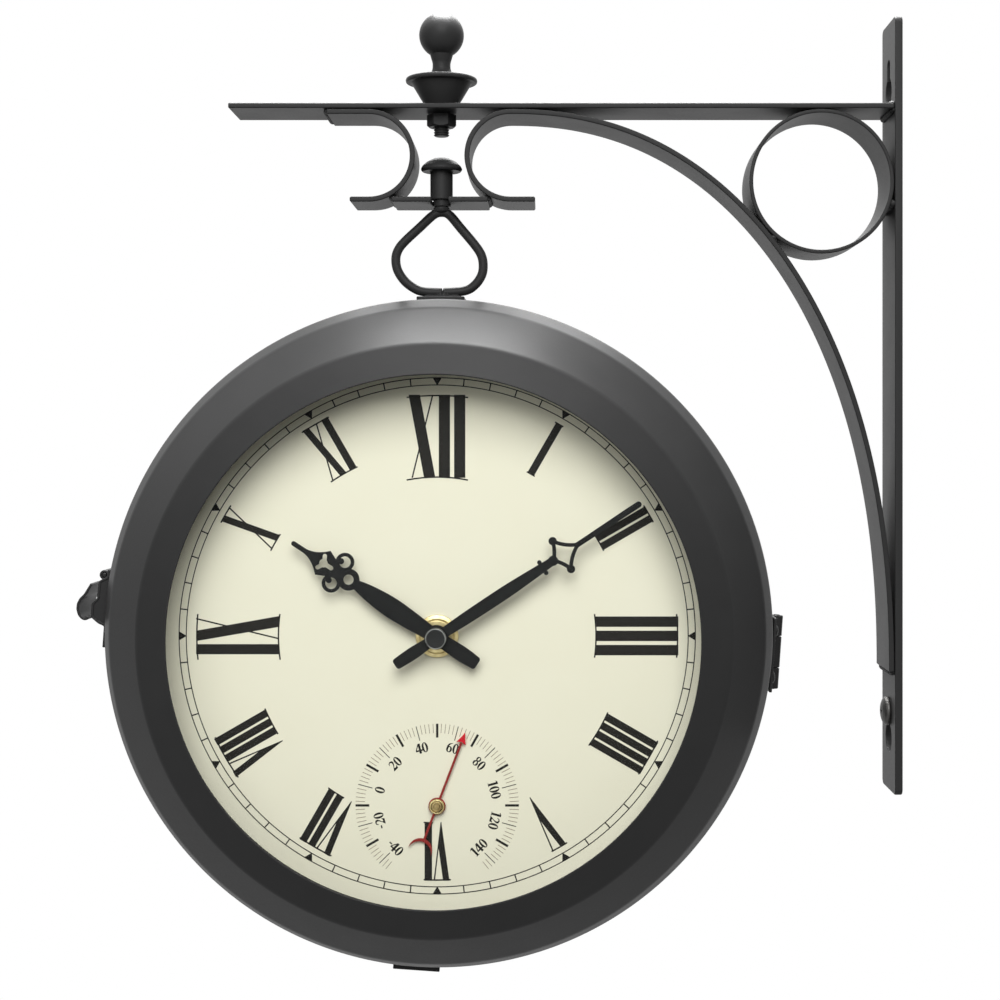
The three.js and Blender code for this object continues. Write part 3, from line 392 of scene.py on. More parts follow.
class Form:
    """A mesh in millimetres, built up from closed shells."""

    def __init__(self) -> None:
        """Starts with nothing."""
        self.mesh = bmesh.new()

    def _ring(self, spots: list[Vector]) -> list[bmesh.types.BMVert]:
        """Adds one ring of corners."""
        return [self.mesh.verts.new(spot) for spot in spots]

    def _bridge(self, low: list[bmesh.types.BMVert], high: list[bmesh.types.BMVert]) -> None:
        """Closes the surface between two rings, either of which may be a single corner.

        Args:
            low: The lower ring.
            high: The upper ring.
        """
        count = max(len(low), len(high))
        for k in range(count):
            k2 = (k + 1) % count
            a, b = low[k % len(low)], low[k2 % len(low)]
            c, d = high[k2 % len(high)], high[k % len(high)]
            corners = list(dict.fromkeys((a, b, c, d)))
            if len(corners) > 2:
                self.mesh.faces.new(corners)

    def lathe(self, profile: Outline, segments: int) -> "Form":
        """Adds a turned shell about the z axis.

        Args:
            profile: Radius and height of each corner; it starts and ends on the axis, or closes.
            segments: Steps round the axis.

        Returns:
            This form.
        """
        turns = [2 * math.pi * k / segments for k in range(segments)]
        rings = []
        for radius, height in profile:
            around = turns if radius > 1e-6 else [0.0]
            spots = [Vector((radius * math.cos(t), radius * math.sin(t), height)) for t in around]
            rings.append(self._ring(spots))
        if profile[0][0] > 1e-6:
            rings.append(rings[0])
        for low, high in pairwise(rings):
            self._bridge(low, high)
        return self

    def slab(self, loops: list[Outline], low: float, high: float, edge: float = 0.0, steps: int = 3) -> "Form":
        """Adds a flat shell between two heights.

        Args:
            loops: Its outlines, each with its material on the left.
            low: Height of its underside.
            high: Height of its face.
            edge: Radius of its rounded edges.
            steps: Steps of that rounding.

        Returns:
            This form.
        """
        curve = [math.pi / 2 * k / steps for k in range(steps + 1)] if edge else [math.pi / 2]
        levels = [(low + edge * (1 - math.cos(a)), edge * (1 - math.sin(a))) for a in curve]
        levels += [(high + low - z, inset) for z, inset in reversed(levels)]
        for group in islands(loops):
            ends: list[list[list[bmesh.types.BMVert]]] = [[], []]
            for loop in group:
                rings = [
                    self._ring([Vector((x, y, z)) for x, y in (moved_in(loop, inset) if inset else loop)])
                    for z, inset in levels
                ]
                for a, b in pairwise(rings):
                    self._bridge(a, b)
                ends[0].append(rings[0])
                ends[1].append(rings[-1])
            for rings in ends:
                corners = [vert for ring in rings for vert in ring]
                for triangle in tessellate_polygon([[vert.co for vert in ring] for ring in rings]):
                    if len(set(triangle)) == 3:
                        self.mesh.faces.new([corners[i] for i in triangle])
        return self

    def sweep(self, path: list[Vector], section: Outline, across: Vector, edge: float) -> "Form":
        """Adds a bar of one section along a flat open path.

        Args:
            path: The path's points.
            section: The section, as distance beside the path and along across.
            across: The normal of the path's plane.
            edge: How far its two ends are chamfered.

        Returns:
            This form.
        """
        small = moved_in(section, edge)
        near = path[0] + (path[1] - path[0]).normalized() * edge
        far = path[-1] + (path[-2] - path[-1]).normalized() * edge
        stations = [path[0], near, *path[1:-1], far, path[-1]]
        shapes = [small, *[section] * len(path), small]
        rings = []
        for i, (spot, shape) in enumerate(zip(stations, shapes)):
            before, after = stations[max(i - 1, 0)], stations[min(i + 1, len(stations) - 1)]
            beside = (after - before).normalized().cross(across)
            rings.append(self._ring([spot + beside * a + across * b for a, b in shape]))
        for low, high in pairwise(rings):
            self._bridge(low, high)
        self.mesh.faces.new(rings[0])
        self.mesh.faces.new(rings[-1])
        return self

    def bead(self, start: Vector, end: Vector, radius: float, ripple: float = 1.7) -> "Form":
        """Adds a weld bead, a row of small overlapping puddles.

        Args:
            start: One end.
            end: The other end.
            radius: Its mean radius.
            ripple: Distance from one puddle to the next.

        Returns:
            This form.
        """
        run = end - start
        ahead = run.normalized()
        beside = ahead.orthogonal().normalized()
        above = ahead.cross(beside)
        puddles = max(2, round(run.length / ripple))
        steps, around = puddles * 6, 14
        turns = [2 * math.pi * k / around for k in range(around)]
        rings = [self._ring([start - ahead * radius * 0.6])]
        for i in range(steps + 1):
            t = i / steps
            wave = abs(math.sin(math.pi * puddles * t + 0.4))
            drift = 0.16 * math.sin(2.1 * puddles * t + start.x)
            taper = min(1.0, 0.55 + 4 * min(t, 1 - t))
            size = radius * (0.84 + 0.2 * wave) * taper * (1 + 0.4 * drift)
            centre = start + run * t + beside * (drift * radius * 0.5)
            spokes = [beside * math.cos(a) + above * math.sin(a) for a in turns]
            rings.append(self._ring([centre + spoke * size for spoke in spokes]))
        rings.append(self._ring([end + ahead * radius * 0.6]))
        for low, high in pairwise(rings):
            self._bridge(low, high)
        return self

    def place(self, matrix: Matrix) -> "Form":
        """Moves all of this form."""
        self.mesh.transform(matrix)
        return self

    def data(self) -> bpy.types.Mesh:
        """This form as mesh data, its faces looking outwards.

        Returns:
            The mesh.
        """
        bmesh.ops.recalc_face_normals(self.mesh, faces=self.mesh.faces)
        made = bpy.data.meshes.new("form")
        self.mesh.to_mesh(made)
        return made

    def combine(self, other: "Form", how: Join) -> "Form":
        """Puts another form and this one together.

        Args:
            other: The other form.
            how: Whether it is joined, cut away, or only the overlap is kept.

        Returns:
            This form, changed.
        """
        blank = bpy.data.objects.new("blank", self.data())
        tool = bpy.data.objects.new("tool", other.data())
        for item in (blank, tool):
            bpy.context.scene.collection.objects.link(item)
        change = blank.modifiers.new("change", "BOOLEAN")
        change.operation, change.solver, change.object = how.value, "MANIFOLD", tool
        graph = bpy.context.evaluated_depsgraph_get()
        result = bpy.data.meshes.new_from_object(blank.evaluated_get(graph))
        for item in (blank, tool):
            bpy.data.objects.remove(item)
        self.mesh.free()
        self.mesh = bmesh.new()
        self.mesh.from_mesh(result)
        return self


def turned(x_to: Vector, y_to: Vector, z_to: Vector, origin: Vector | None = None) -> Matrix:
    """A frame from where its three axes point and where its origin is, in millimetres."""
    matrix = Matrix((x_to, y_to, z_to)).transposed().to_4x4()
    matrix.translation = origin or Vector()
    return matrix


def spot(x: float, y: float, z: float) -> Matrix:
    """An upright frame at a place."""
    return Matrix.Translation((x, y, z))


# ---------------------------------------------------------------- finishes


class Wire:
    """A shader value that takes part in sums; each operation adds its Math node."""

    def __init__(self, mixer: "Mixer", socket: bpy.types.NodeSocket) -> None:
        """Keeps an output socket and the tree that it is in."""
        self.mixer, self.socket = mixer, socket

    def _math(self, operation: str, *values: "Wire | float") -> "Wire":
        """Adds one Math node."""
        return self.mixer.node("ShaderNodeMath", {"operation": operation}, dict(enumerate(values)))

    def __add__(self, other: "Wire | float") -> "Wire":
        """This value plus another."""
        return self._math("ADD", self, other)

    __radd__ = __add__

    def __mul__(self, other: "Wire | float") -> "Wire":
        """This value times another."""
        return self._math("MULTIPLY", self, other)

    __rmul__ = __mul__

    def __sub__(self, other: "Wire | float") -> "Wire":
        """This value less another."""
        return self._math("SUBTRACT", self, other)

    def __rsub__(self, other: "Wire | float") -> "Wire":
        """Another value less this one."""
        return self._math("SUBTRACT", other, self)

    def __gt__(self, other: "Wire | float") -> "Wire":
        """One where this value is the larger, zero elsewhere."""
        return self._math("GREATER_THAN", self, other)

    def or_larger(self, other: "Wire | float") -> "Wire":
        """The larger of two values."""
        return self._math("MAXIMUM", self, other)


class Mixer:
    """Adds the nodes of one material or of the world."""

    def __init__(self, tree: bpy.types.NodeTree) -> None:
        """Empties the tree."""
        self.tree = tree
        tree.nodes.clear()

    def node(
        self, kind: str, settings: dict | None = None, inputs: dict | None = None, output: int | str = 0
    ) -> Wire:
        """Adds any node.

        Args:
            kind: Its type.
            settings: Its properties, set first.
            inputs: Values or wires of its sockets, by name or number.
            output: The socket that is handed back.

        Returns:
            The wire from that output.
        """
        made = self.tree.nodes.new(kind)
        for key, value in (settings or {}).items():
            setattr(made, key, value)
        for key, value in (inputs or {}).items():
            if isinstance(value, Wire):
                self.tree.links.new(value.socket, made.inputs[key])
            elif isinstance(value, tuple) and made.inputs[key].type == "RGBA":
                made.inputs[key].default_value = (*value, 1)
            else:
                made.inputs[key].default_value = value
        return Wire(self, made.outputs[output])

    def place(self) -> Wire:
        """The place on the piece, in millimetres of its own frame."""
        here = self.node("ShaderNodeTexCoord", output="Object")
        return self.node("ShaderNodeVectorMath", {"operation": "SCALE"}, {0: here, "Scale": 1 / MM})

    def radius(self) -> Wire:
        """The distance from the piece's z axis, in millimetres."""
        flat = self.node("ShaderNodeVectorMath", {"operation": "MULTIPLY"}, {0: self.place(), 1: (1, 1, 0)})
        return self.node("ShaderNodeVectorMath", {"operation": "LENGTH"}, {0: flat}, "Value")

    def noise(self, grain: float, detail: float) -> Wire:
        """Soft noise from 0 to 1 with grains of a size in millimetres."""
        inputs = {"Vector": self.place(), "Scale": 1 / grain, "Detail": detail}
        return self.node("ShaderNodeTexNoise", inputs=inputs)

    def rings(self, pitch: float) -> Wire:
        """Fine turning marks round the piece's z axis, from 0 to 1."""
        inputs = {"W": self.radius(), "Scale": 1 / pitch, "Detail": 3.0}
        return self.node("ShaderNodeTexNoise", {"noise_dimensions": "1D"}, inputs)

    def blend(self, share: "Wire | float", first: "Colour | Wire", second: "Colour | Wire") -> Wire:
        """Two colours mixed; share 0 is the first."""
        return self.node("ShaderNodeMix", {"data_type": "RGBA"}, {0: share, 6: first, 7: second}, 2)

    def band(self, value: Wire, low: float, high: float) -> Wire:
        """A value spread so that low becomes 0 and high becomes 1."""
        return self.node("ShaderNodeMapRange", inputs={0: value, 1: low, 2: high})

    def surface(
        self, height: Wire | None = None, depth: float = 0.0, **inputs: "Wire | float | Colour"
    ) -> Wire:
        """The main shader.

        Args:
            height: What the fine relief follows.
            depth: How deep that relief is, in millimetres.
            **inputs: Values of its sockets, with _ for a space.

        Returns:
            The shader's wire.
        """
        sockets = {name.replace("_", " "): value for name, value in inputs.items()}
        if height is not None:
            relief = {"Height": height, "Distance": depth * MM, "Strength": 1.0}
            sockets["Normal"] = self.node("ShaderNodeBump", inputs=relief)
        return self.node("ShaderNodeBsdfPrincipled", inputs=sockets)

    def output(self, shader: Wire, kind: str = "ShaderNodeOutputMaterial") -> None:
        """Ends the tree in a shader."""
        made = self.tree.nodes.new(kind)
        self.tree.links.new(shader.socket, made.inputs["Surface"])


@dataclass(frozen=True)
class Finish:
    """One finish of the object, and the slot of the record that it stands for."""

    name: str
    slot: str

    def mix(self, mixer: Mixer) -> Wire:
        """The finish's shader."""
        raise NotImplementedError

    def material(self) -> bpy.types.Material:
        """The finish's material, made once.

        Returns:
            The material.
        """
        found = bpy.data.materials.get(self.name)
        if found is None:
            found = bpy.data.materials.new(self.name)
            found.use_nodes = True
            mixer = Mixer(found.node_tree)
            mixer.output(self.mix(mixer))
        return found


@dataclass(frozen=True)
class PowderCoat(Finish):
    """Baked charcoal powder: satin, with a fine peel and faint clouds."""

    name: str = "powder coat"
    slot: str = "powder_coat"
    light: Colour = (0.0275, 0.0275, 0.0275)
    dark: Colour = (0.0205, 0.0205, 0.0207)

    def mix(self, mixer: Mixer) -> Wire:
        """The finish's shader.

        Args:
            mixer: The material's nodes.

        Returns:
            The shader's wire.
        """
        clouds = mixer.noise(14, 3)
        peel = mixer.noise(0.9, 1.5)
        speck = mixer.noise(0.22, 1)
        return mixer.surface(
            Base_Color=mixer.blend(clouds * 0.7 + speck * 0.3, self.dark, self.light),
            Roughness=0.42 + 0.16 * (peel * 0.5 + clouds * 0.5 - 0.5),
            Specular_IOR_Level=0.09,
            height=peel * 0.8 + speck * 0.2,
            depth=0.016,
        )


@dataclass(frozen=True)
class DialPaint(Finish):
    """The dial's ivory coat: matt, faintly mottled, with a paper-like tooth."""

    name: str = "ivory dial"
    slot: str = "dial"
    light: Colour = (0.875, 0.830, 0.680)
    dark: Colour = (0.845, 0.795, 0.630)

    def mix(self, mixer: Mixer) -> Wire:
        """The finish's shader.

        Args:
            mixer: The material's nodes.

        Returns:
            The shader's wire.
        """
        mottle = mixer.noise(22, 3)
        tooth = mixer.noise(0.35, 2)
        return mixer.surface(
            Base_Color=mixer.blend(mottle * 0.75 + tooth * 0.25, self.dark, self.light),
            Roughness=0.58 + 0.1 * tooth,
            Specular_IOR_Level=0.3,
            height=tooth,
            depth=0.006,
        )


@dataclass(frozen=True)
class Ink(Finish):
    """Screen-printed ink, a little uneven where it is laid on."""

    name: str = "black ink"
    slot: str = "black_paint"
    colour: Colour = (0.012, 0.011, 0.010)
    thin: Colour = (0.022, 0.020, 0.017)

    def mix(self, mixer: Mixer) -> Wire:
        """The finish's shader.

        Args:
            mixer: The material's nodes.

        Returns:
            The shader's wire.
        """
        laid = mixer.noise(1.1, 3)
        return mixer.surface(
            Base_Color=mixer.blend(laid, self.colour, self.thin),
            Roughness=0.5 + 0.15 * laid,
            Specular_IOR_Level=0.1,
            height=laid,
            depth=0.004,
        )


@dataclass(frozen=True)
class Enamel(Finish):
    """Sprayed paint on stamped metal: hands, caps and pointers."""

    name: str = "black enamel"
    slot: str = "black_paint"
    colour: Colour = (0.006, 0.006, 0.006)
    bright: Colour = (0.011, 0.011, 0.011)
    gloss: float = 0.42
    sheen: float = 0.12

    def mix(self, mixer: Mixer) -> Wire:
        """The finish's shader.

        Args:
            mixer: The material's nodes.

        Returns:
            The shader's wire.
        """
        spray = mixer.noise(0.5, 2)
        sweep = mixer.noise(9, 1)
        return mixer.surface(
            Base_Color=mixer.blend(sweep, self.colour, self.bright),
            Roughness=self.gloss + 0.1 * spray,
            Specular_IOR_Level=self.sheen,
            height=spray,
            depth=0.006,
        )


@dataclass(frozen=True)
class TurnedMetal(Finish):
    """Bare metal from the lathe, with marks round its axis and some tarnish."""

    name: str = "turned brass"
    slot: str = "brass"
    light: Colour = (0.80, 0.61, 0.27)
    dark: Colour = (0.55, 0.38, 0.14)
    polish: float = 0.26

    def mix(self, mixer: Mixer) -> Wire:
        """The finish's shader.

        Args:
            mixer: The material's nodes.

        Returns:
            The shader's wire.
        """
        marks = mixer.rings(0.16)
        tarnish = mixer.noise(3.5, 4)
        return mixer.surface(
            Base_Color=mixer.blend(mixer.band(tarnish, 0.35, 0.7), self.light, self.dark),
            Roughness=self.polish + 0.16 * marks + 0.12 * tarnish,
            Metallic=1.0,
            height=marks,
            depth=0.012,
        )


@dataclass(frozen=True)
class Rubber(Finish):
    """Black moulded rubber with a dull bloom."""

    name: str = "black rubber"
    slot: str = "rubber"

    def mix(self, mixer: Mixer) -> Wire:
        """The finish's shader.

        Args:
            mixer: The material's nodes.

        Returns:
            The shader's wire.
        """
        bloom = mixer.noise(4, 4)
        grain = mixer.noise(0.3, 2)
        return mixer.surface(
            Base_Color=mixer.blend(bloom, (0.010, 0.010, 0.010), (0.026, 0.025, 0.024)),
            Roughness=0.76 + 0.16 * bloom,
            Specular_IOR_Level=0.3,
            height=grain,
            depth=0.02,
        )


@dataclass(frozen=True)
class MouldedPlastic(Finish):
    """Black moulded plastic with a spark-eroded skin."""

    name: str = "black plastic"
    slot: str = "black_plastic"
    colour: Colour = (0.014, 0.014, 0.015)

    def mix(self, mixer: Mixer) -> Wire:
        """The finish's shader.

        Args:
            mixer: The material's nodes.

        Returns:
            The shader's wire.
        """
        skin = mixer.noise(0.18, 2)
        flow = mixer.noise(12, 2)
        return mixer.surface(
            Base_Color=mixer.blend(flow, self.colour, (0.022, 0.022, 0.023)),
            Roughness=0.42 + 0.16 * skin,
            height=skin,
            depth=0.02,
        )


@dataclass(frozen=True)
class CellWrap(Finish):
    """The printed sleeve of a plain cell: a copper band at one end, near black for the rest."""

    name: str = "cell wrap"
    slot: str = "battery_wrap"
    band_at: float = 11.0

    def mix(self, mixer: Mixer) -> Wire:
        """The finish's shader.

        Args:
            mixer: The material's nodes.

        Returns:
            The shader's wire.
        """
        along = mixer.node("ShaderNodeSeparateXYZ", inputs={0: mixer.place()}, output="Z")
        copper = along > self.band_at
        scuff = mixer.noise(1.6, 4)
        return mixer.surface(
            Base_Color=mixer.blend(copper, (0.022, 0.030, 0.044), (0.46, 0.20, 0.08)),
            Roughness=0.28 + 0.2 * scuff,
            Metallic=0.35 + 0.4 * copper,
            height=scuff,
            depth=0.01,
        )


@dataclass(frozen=True)
class ClearGlass(Finish):
    """A thin clear pane that mirrors a little at a slant."""

    name: str = "clear glass"
    slot: str = "glass"
    head_on: float = 0.002
    grazing: float = 0.9

    def mix(self, mixer: Mixer) -> Wire:
        """The finish's shader.

        Args:
            mixer: The material's nodes.

        Returns:
            The shader's wire.
        """
        through = mixer.node("ShaderNodeBsdfTransparent", inputs={0: (0.985, 0.995, 0.99)})
        smear = mixer.noise(30, 2)
        mirror = mixer.surface(Base_Color=(0.9, 0.9, 0.9), Roughness=0.02 + 0.03 * smear, Metallic=1.0)
        slant = mixer.node("ShaderNodeLayerWeight", inputs={"Blend": 0.5}, output="Facing")
        steep = slant * slant
        share = steep * steep * slant * self.grazing + self.head_on
        return mixer.node("ShaderNodeMixShader", inputs={0: share, 1: through, 2: mirror})


COAT = PowderCoat()
IVORY = DialPaint()
PAINTED = PowderCoat(name="painted rivet heads", slot="steel")
BLACK_INK = Ink()
BROWN_INK = Ink(name="brown ink", colour=(0.16, 0.10, 0.06), thin=(0.24, 0.16, 0.09))
BLACK_ENAMEL = Enamel()
CAP_ENAMEL = Enamel(name="cap enamel", gloss=0.3, sheen=0.25)
# Painted highlight: a thin bright metal ring on the hand cap that stands in for light caught on the cap's rim.
CAP_HIGHLIGHT = TurnedMetal("painted cap highlight", "black_paint", (0.34, 0.34, 0.33), (0.10, 0.10, 0.10), 0.3)
RED_ENAMEL = Enamel("red enamel", "red_paint", (0.56, 0.010, 0.022), (0.66, 0.018, 0.032))
DARK_RED = Enamel("dark red enamel", "red_paint", (0.23, 0.024, 0.020), (0.31, 0.032, 0.028))
BRASS = TurnedMetal(light=(0.64, 0.53, 0.28), dark=(0.38, 0.29, 0.13))
OLD_BRASS = TurnedMetal("tarnished brass", "brass", (0.40, 0.31, 0.15), (0.20, 0.14, 0.06), 0.36)
ZINC = TurnedMetal("zinc plated steel", "steel", (0.62, 0.62, 0.61), (0.40, 0.40, 0.41), 0.3)
BLACKENED = TurnedMetal("blackened steel", "steel", (0.085, 0.083, 0.08), (0.045, 0.044, 0.042), 0.34)
RUBBER = Rubber()
PLASTIC = MouldedPlastic()
WRAP = CellWrap()
GLASS = ClearGlass()


# ---------------------------------------------------------------- sub-assemblies


def make(
    name: str,
    form: Form,
    finish: Finish,
    body: str,
    *nodes: str,
    at: Matrix | None = None,
    crease: float = 32.0,
) -> bpy.types.Object:
    """Makes one piece of the object and fastens it to its body.

    Args:
        name: The piece's name.
        form: Its mesh in millimetres of its own frame.
        finish: Its finish.
        body: The body that it moves with.
        *nodes: The frame's nodes that it stands for.
        at: Its frame, in millimetres.
        crease: The angle in degrees above which an edge is drawn sharp.

    Returns:
        The piece.
    """
    form.place(Matrix.Scale(MM, 4))
    data = form.data()
    data.name = name
    data.shade_smooth()
    data.set_sharp_from_angle(angle=math.radians(crease))
    data.materials.append(finish.material())
    piece = bpy.data.objects.new(name, data)
    bpy.context.scene.collection.objects.link(piece)
    even = piece.modifiers.new("even", "WEIGHTED_NORMAL")
    even.keep_sharp = True
    place = (at or Matrix.Identity(4)).copy()
    place.translation *= MM
    piece.matrix_world = place
    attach(piece, body)
    if nodes:
        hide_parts(*nodes)
    log.info("%s: %d faces, on %s", name, len(data.polygons), body)
    return piece


def bar_section(thickness: float, low: float, high: float, corner: float) -> Outline:
    """A rounded bar's section: its thickness beside the path, and low to high across it."""
    return rounded(rectangle(-thickness / 2, low, thickness / 2, high), corner, steps=3)


def round_bar(profile: Outline, radii: list[float], segments: int, steps: int = 6) -> Form:
    """A turned form whose profile runs from the axis back to it, with each corner rounded."""
    return Form().lathe(rounded(profile, radii, closed=False, steps=steps), segments)


@dataclass
class WallBracket:
    """The flat-bar bracket: wall plate, arm, two scrolls, brace, ring and the bar that carries."""

    body: str = "bracket"
    width: float = 25.4
    thickness: float = STRAP
    corner: float = 0.45
    plate_height: float = 300.0
    plate_thickness: float = 3.0
    hole_heights: tuple[float, float] = (122.6, -129.4)
    hole_radius: float = 5.5
    slot_radius: float = 2.5
    slot_rise: float = 10.2
    arm_start: float = -259.3
    arm_end: float = -3.3
    arm_low: float = ARM_LOW
    strap_top: float = 113.05
    scroll_z: float = 96.2
    scroll_radius: float = 16.85
    left_scroll_x: float = -205.35
    right_scroll_x: float = -150.65
    upper_leg: float = 16.25
    tail: float = 7.25
    longer: float = 2.1
    brace_reach: float = 146.35
    brace_foot: float = -102.5
    brace_power: float = 2 / 2.2
    bar_x: float = CLOCK_X
    bar_half: float = 18.5
    bar_z: float = 79.35
    pin_slot: float = 3.5
    ring_x: float = -31.12
    ring_z: float = 86.23
    ring_radius: float = 27.83
    ring_thickness: float = 1.5
    screw_z: float = -119.2

    def build(self) -> None:
        """Makes every piece of the bracket."""
        self.plate()
        self.screw()
        self.arm()
        self.straps()
        self.lower_bar()
        self.ring()
        self.welds()

    def plate(self) -> None:
        """The wall plate with its two keyholes."""
        half, tall = self.width / 2, self.plate_height / 2
        holes = []
        for z in self.hole_heights:
            top = z + self.slot_rise
            holes += [
                disc(0, z, self.hole_radius),
                disc(0, top, self.slot_radius, 32),
                rectangle(-self.slot_radius, z, self.slot_radius, top),
            ]
        outline = rounded(rectangle(-half, -tall, half, tall), 2.5)
        form = Form().slab(merge([outline], holes), -self.plate_thickness, 0, 0.5)
        at = turned(Y_AXIS, Z_AXIS, X_AXIS)
        make("bracket.wall_plate", form, COAT, self.body, "wall_plate", at=at)

    def screw(self) -> None:
        """The pan head screw in the lower keyhole."""
        foot, radius, height = -self.plate_thickness - 0.3, 5.6, 2.8
        crown = foot - height
        profile = rounded(
            [
                (0, crown), (radius * 0.55, crown + 0.25), (radius * 0.9, crown + 1.1), (radius, crown + 2),
                (radius, foot), (2, foot), (2, -0.3), (0, -0.3),
            ],
            [0, 4, 1.5, 0.8, 0.2, 0, 0.2, 0],
            closed=False,
        )
        form = Form().lathe(profile, 64)
        arm = rounded(rectangle(-1.5, -0.5, 1.5, 0.5), 0.12)
        upright = [(y, x) for x, y in arm]
        recess = Form().slab(merge([arm, upright]), crown - 1, crown + 1.6)
        form.combine(recess, Join.CUT)
        at = turned(Y_AXIS, Z_AXIS, X_AXIS, Vector((0, 0, self.screw_z)))
        make("bracket.screw", form, BLACKENED, self.body, "plate_screw", at=at)

    def arm(self) -> None:
        """The straight arm at the top, with its hole for the finial's stud."""
        half = self.width / 2
        outline = rounded(rectangle(self.arm_start, -half, self.arm_end, half), 0.5)
        loops = merge([outline], [disc(self.bar_x, 0, 3.3)])
        form = Form().slab(loops, self.arm_low, self.arm_low + self.thickness, self.corner)
        make("bracket.arm", form, COAT, self.body, "top_arm")

    def strap(self, name: str, path: Outline, node: str) -> None:
        """One bent strap.

        Args:
            name: The piece's name.
            path: The line through the middle of its thickness, as x and z.
            node: The frame's node that it stands for.
        """
        half = self.width / 2
        section = bar_section(self.thickness, -half, half, self.corner)
        form = Form().sweep([Vector((x, 0, z)) for x, z in path], section, Y_AXIS, self.corner)
        make(name, form, COAT, self.body, node)

    def straps(self) -> None:
        """The free scroll, and the scroll that runs on as the brace."""
        radius = self.scroll_radius
        left = [
            (self.left_scroll_x - self.upper_leg, self.strap_top),
            *arc(self.left_scroll_x, self.scroll_z, radius, 90, -90, 40),
            (self.left_scroll_x - self.tail, self.bar_z),
        ]
        self.strap("bracket.left_scroll", left, "left_scroll")
        steps = 90
        fall = self.strap_top - self.brace_foot
        brace = []
        for i in range(steps + 1):
            turn = math.pi / 2 * i / steps
            across, up = math.sin(turn) ** self.brace_power, max(math.cos(turn), 0) ** self.brace_power
            brace.append((self.right_scroll_x + self.brace_reach * across, self.brace_foot + fall * up))
        right = [
            (self.right_scroll_x + self.tail + self.longer, self.bar_z),
            *arc(self.right_scroll_x, self.scroll_z, radius, 270, 90, 40)[:-1],
            *brace,
        ]
        self.strap("bracket.brace", right, "brace_scroll")

    def lower_bar(self) -> None:
        """The bar between the scrolls with the open slot for the hanging pin."""
        half, low = self.width / 2, self.bar_z - self.thickness / 2
        left, right = self.bar_x - self.bar_half, self.bar_x + self.bar_half
        loops = merge(
            [rounded(rectangle(left, -half, right, half), 0.5)],
            [
                disc(self.bar_x, 0, self.pin_slot),
                rectangle(self.bar_x - self.pin_slot, -self.width, self.bar_x + self.pin_slot, 0),
            ],
        )
        form = Form().slab(loops, low, low + self.thickness, self.corner)
        make("bracket.lower_bar", form, COAT, self.body, "lower_bar")

    def ring(self) -> None:
        """The ring in the corner."""
        half = self.width / 2
        inner = self.ring_radius - self.ring_thickness
        profile = rounded(rectangle(inner, -half, self.ring_radius, half), 0.4, steps=3)
        at = turned(Z_AXIS, X_AXIS, Y_AXIS, Vector((self.ring_x, 0, self.ring_z)))
        make("bracket.ring", Form().lathe(profile, 160), COAT, self.body, "bracket_ring", at=at)

    def welds(self) -> None:
        """The weld beads where the straps meet, each by its x, z and radius."""
        wall = -self.plate_thickness
        beads = {
            "arm_top": (wall - 0.2, self.arm_low + self.thickness + 0.2, 1.4),
            "arm_under": (wall - 0.2, self.arm_low - 0.3, 1.4),
            "ring_wall": (wall - 0.7, self.ring_z - 8.4, 2.1),
            "ring_arm": (self.ring_x + 3, self.arm_low - 0.5, 1.3),
            "ring_brace": (-49.6, 64.6, 2.0),
            "left_scroll_arm": (self.left_scroll_x - self.upper_leg, self.strap_top + 0.4, 1.5),
            "right_scroll_arm": (self.right_scroll_x + 1, self.strap_top + 0.9, 1.2),
            "left_scroll_bar": (self.bar_x - self.bar_half + 0.2, self.bar_z + 0.9, 1.4),
            "right_scroll_bar": (self.bar_x + self.bar_half - 0.2, self.bar_z + 0.9, 1.4),
            "brace_wall": (wall - 0.6, self.brace_foot - 0.2, 1.5),
        }
        for name, (x, z, radius) in beads.items():
            short_by = 0.6 if name in ("ring_wall", "ring_brace") else 1.6
            half = self.width / 2 - short_by
            form = Form().bead(Vector((x, -half, z)), Vector((x, half, z)), radius)
            make(f"bracket.weld_{name}", form, COAT, self.body, crease=60)


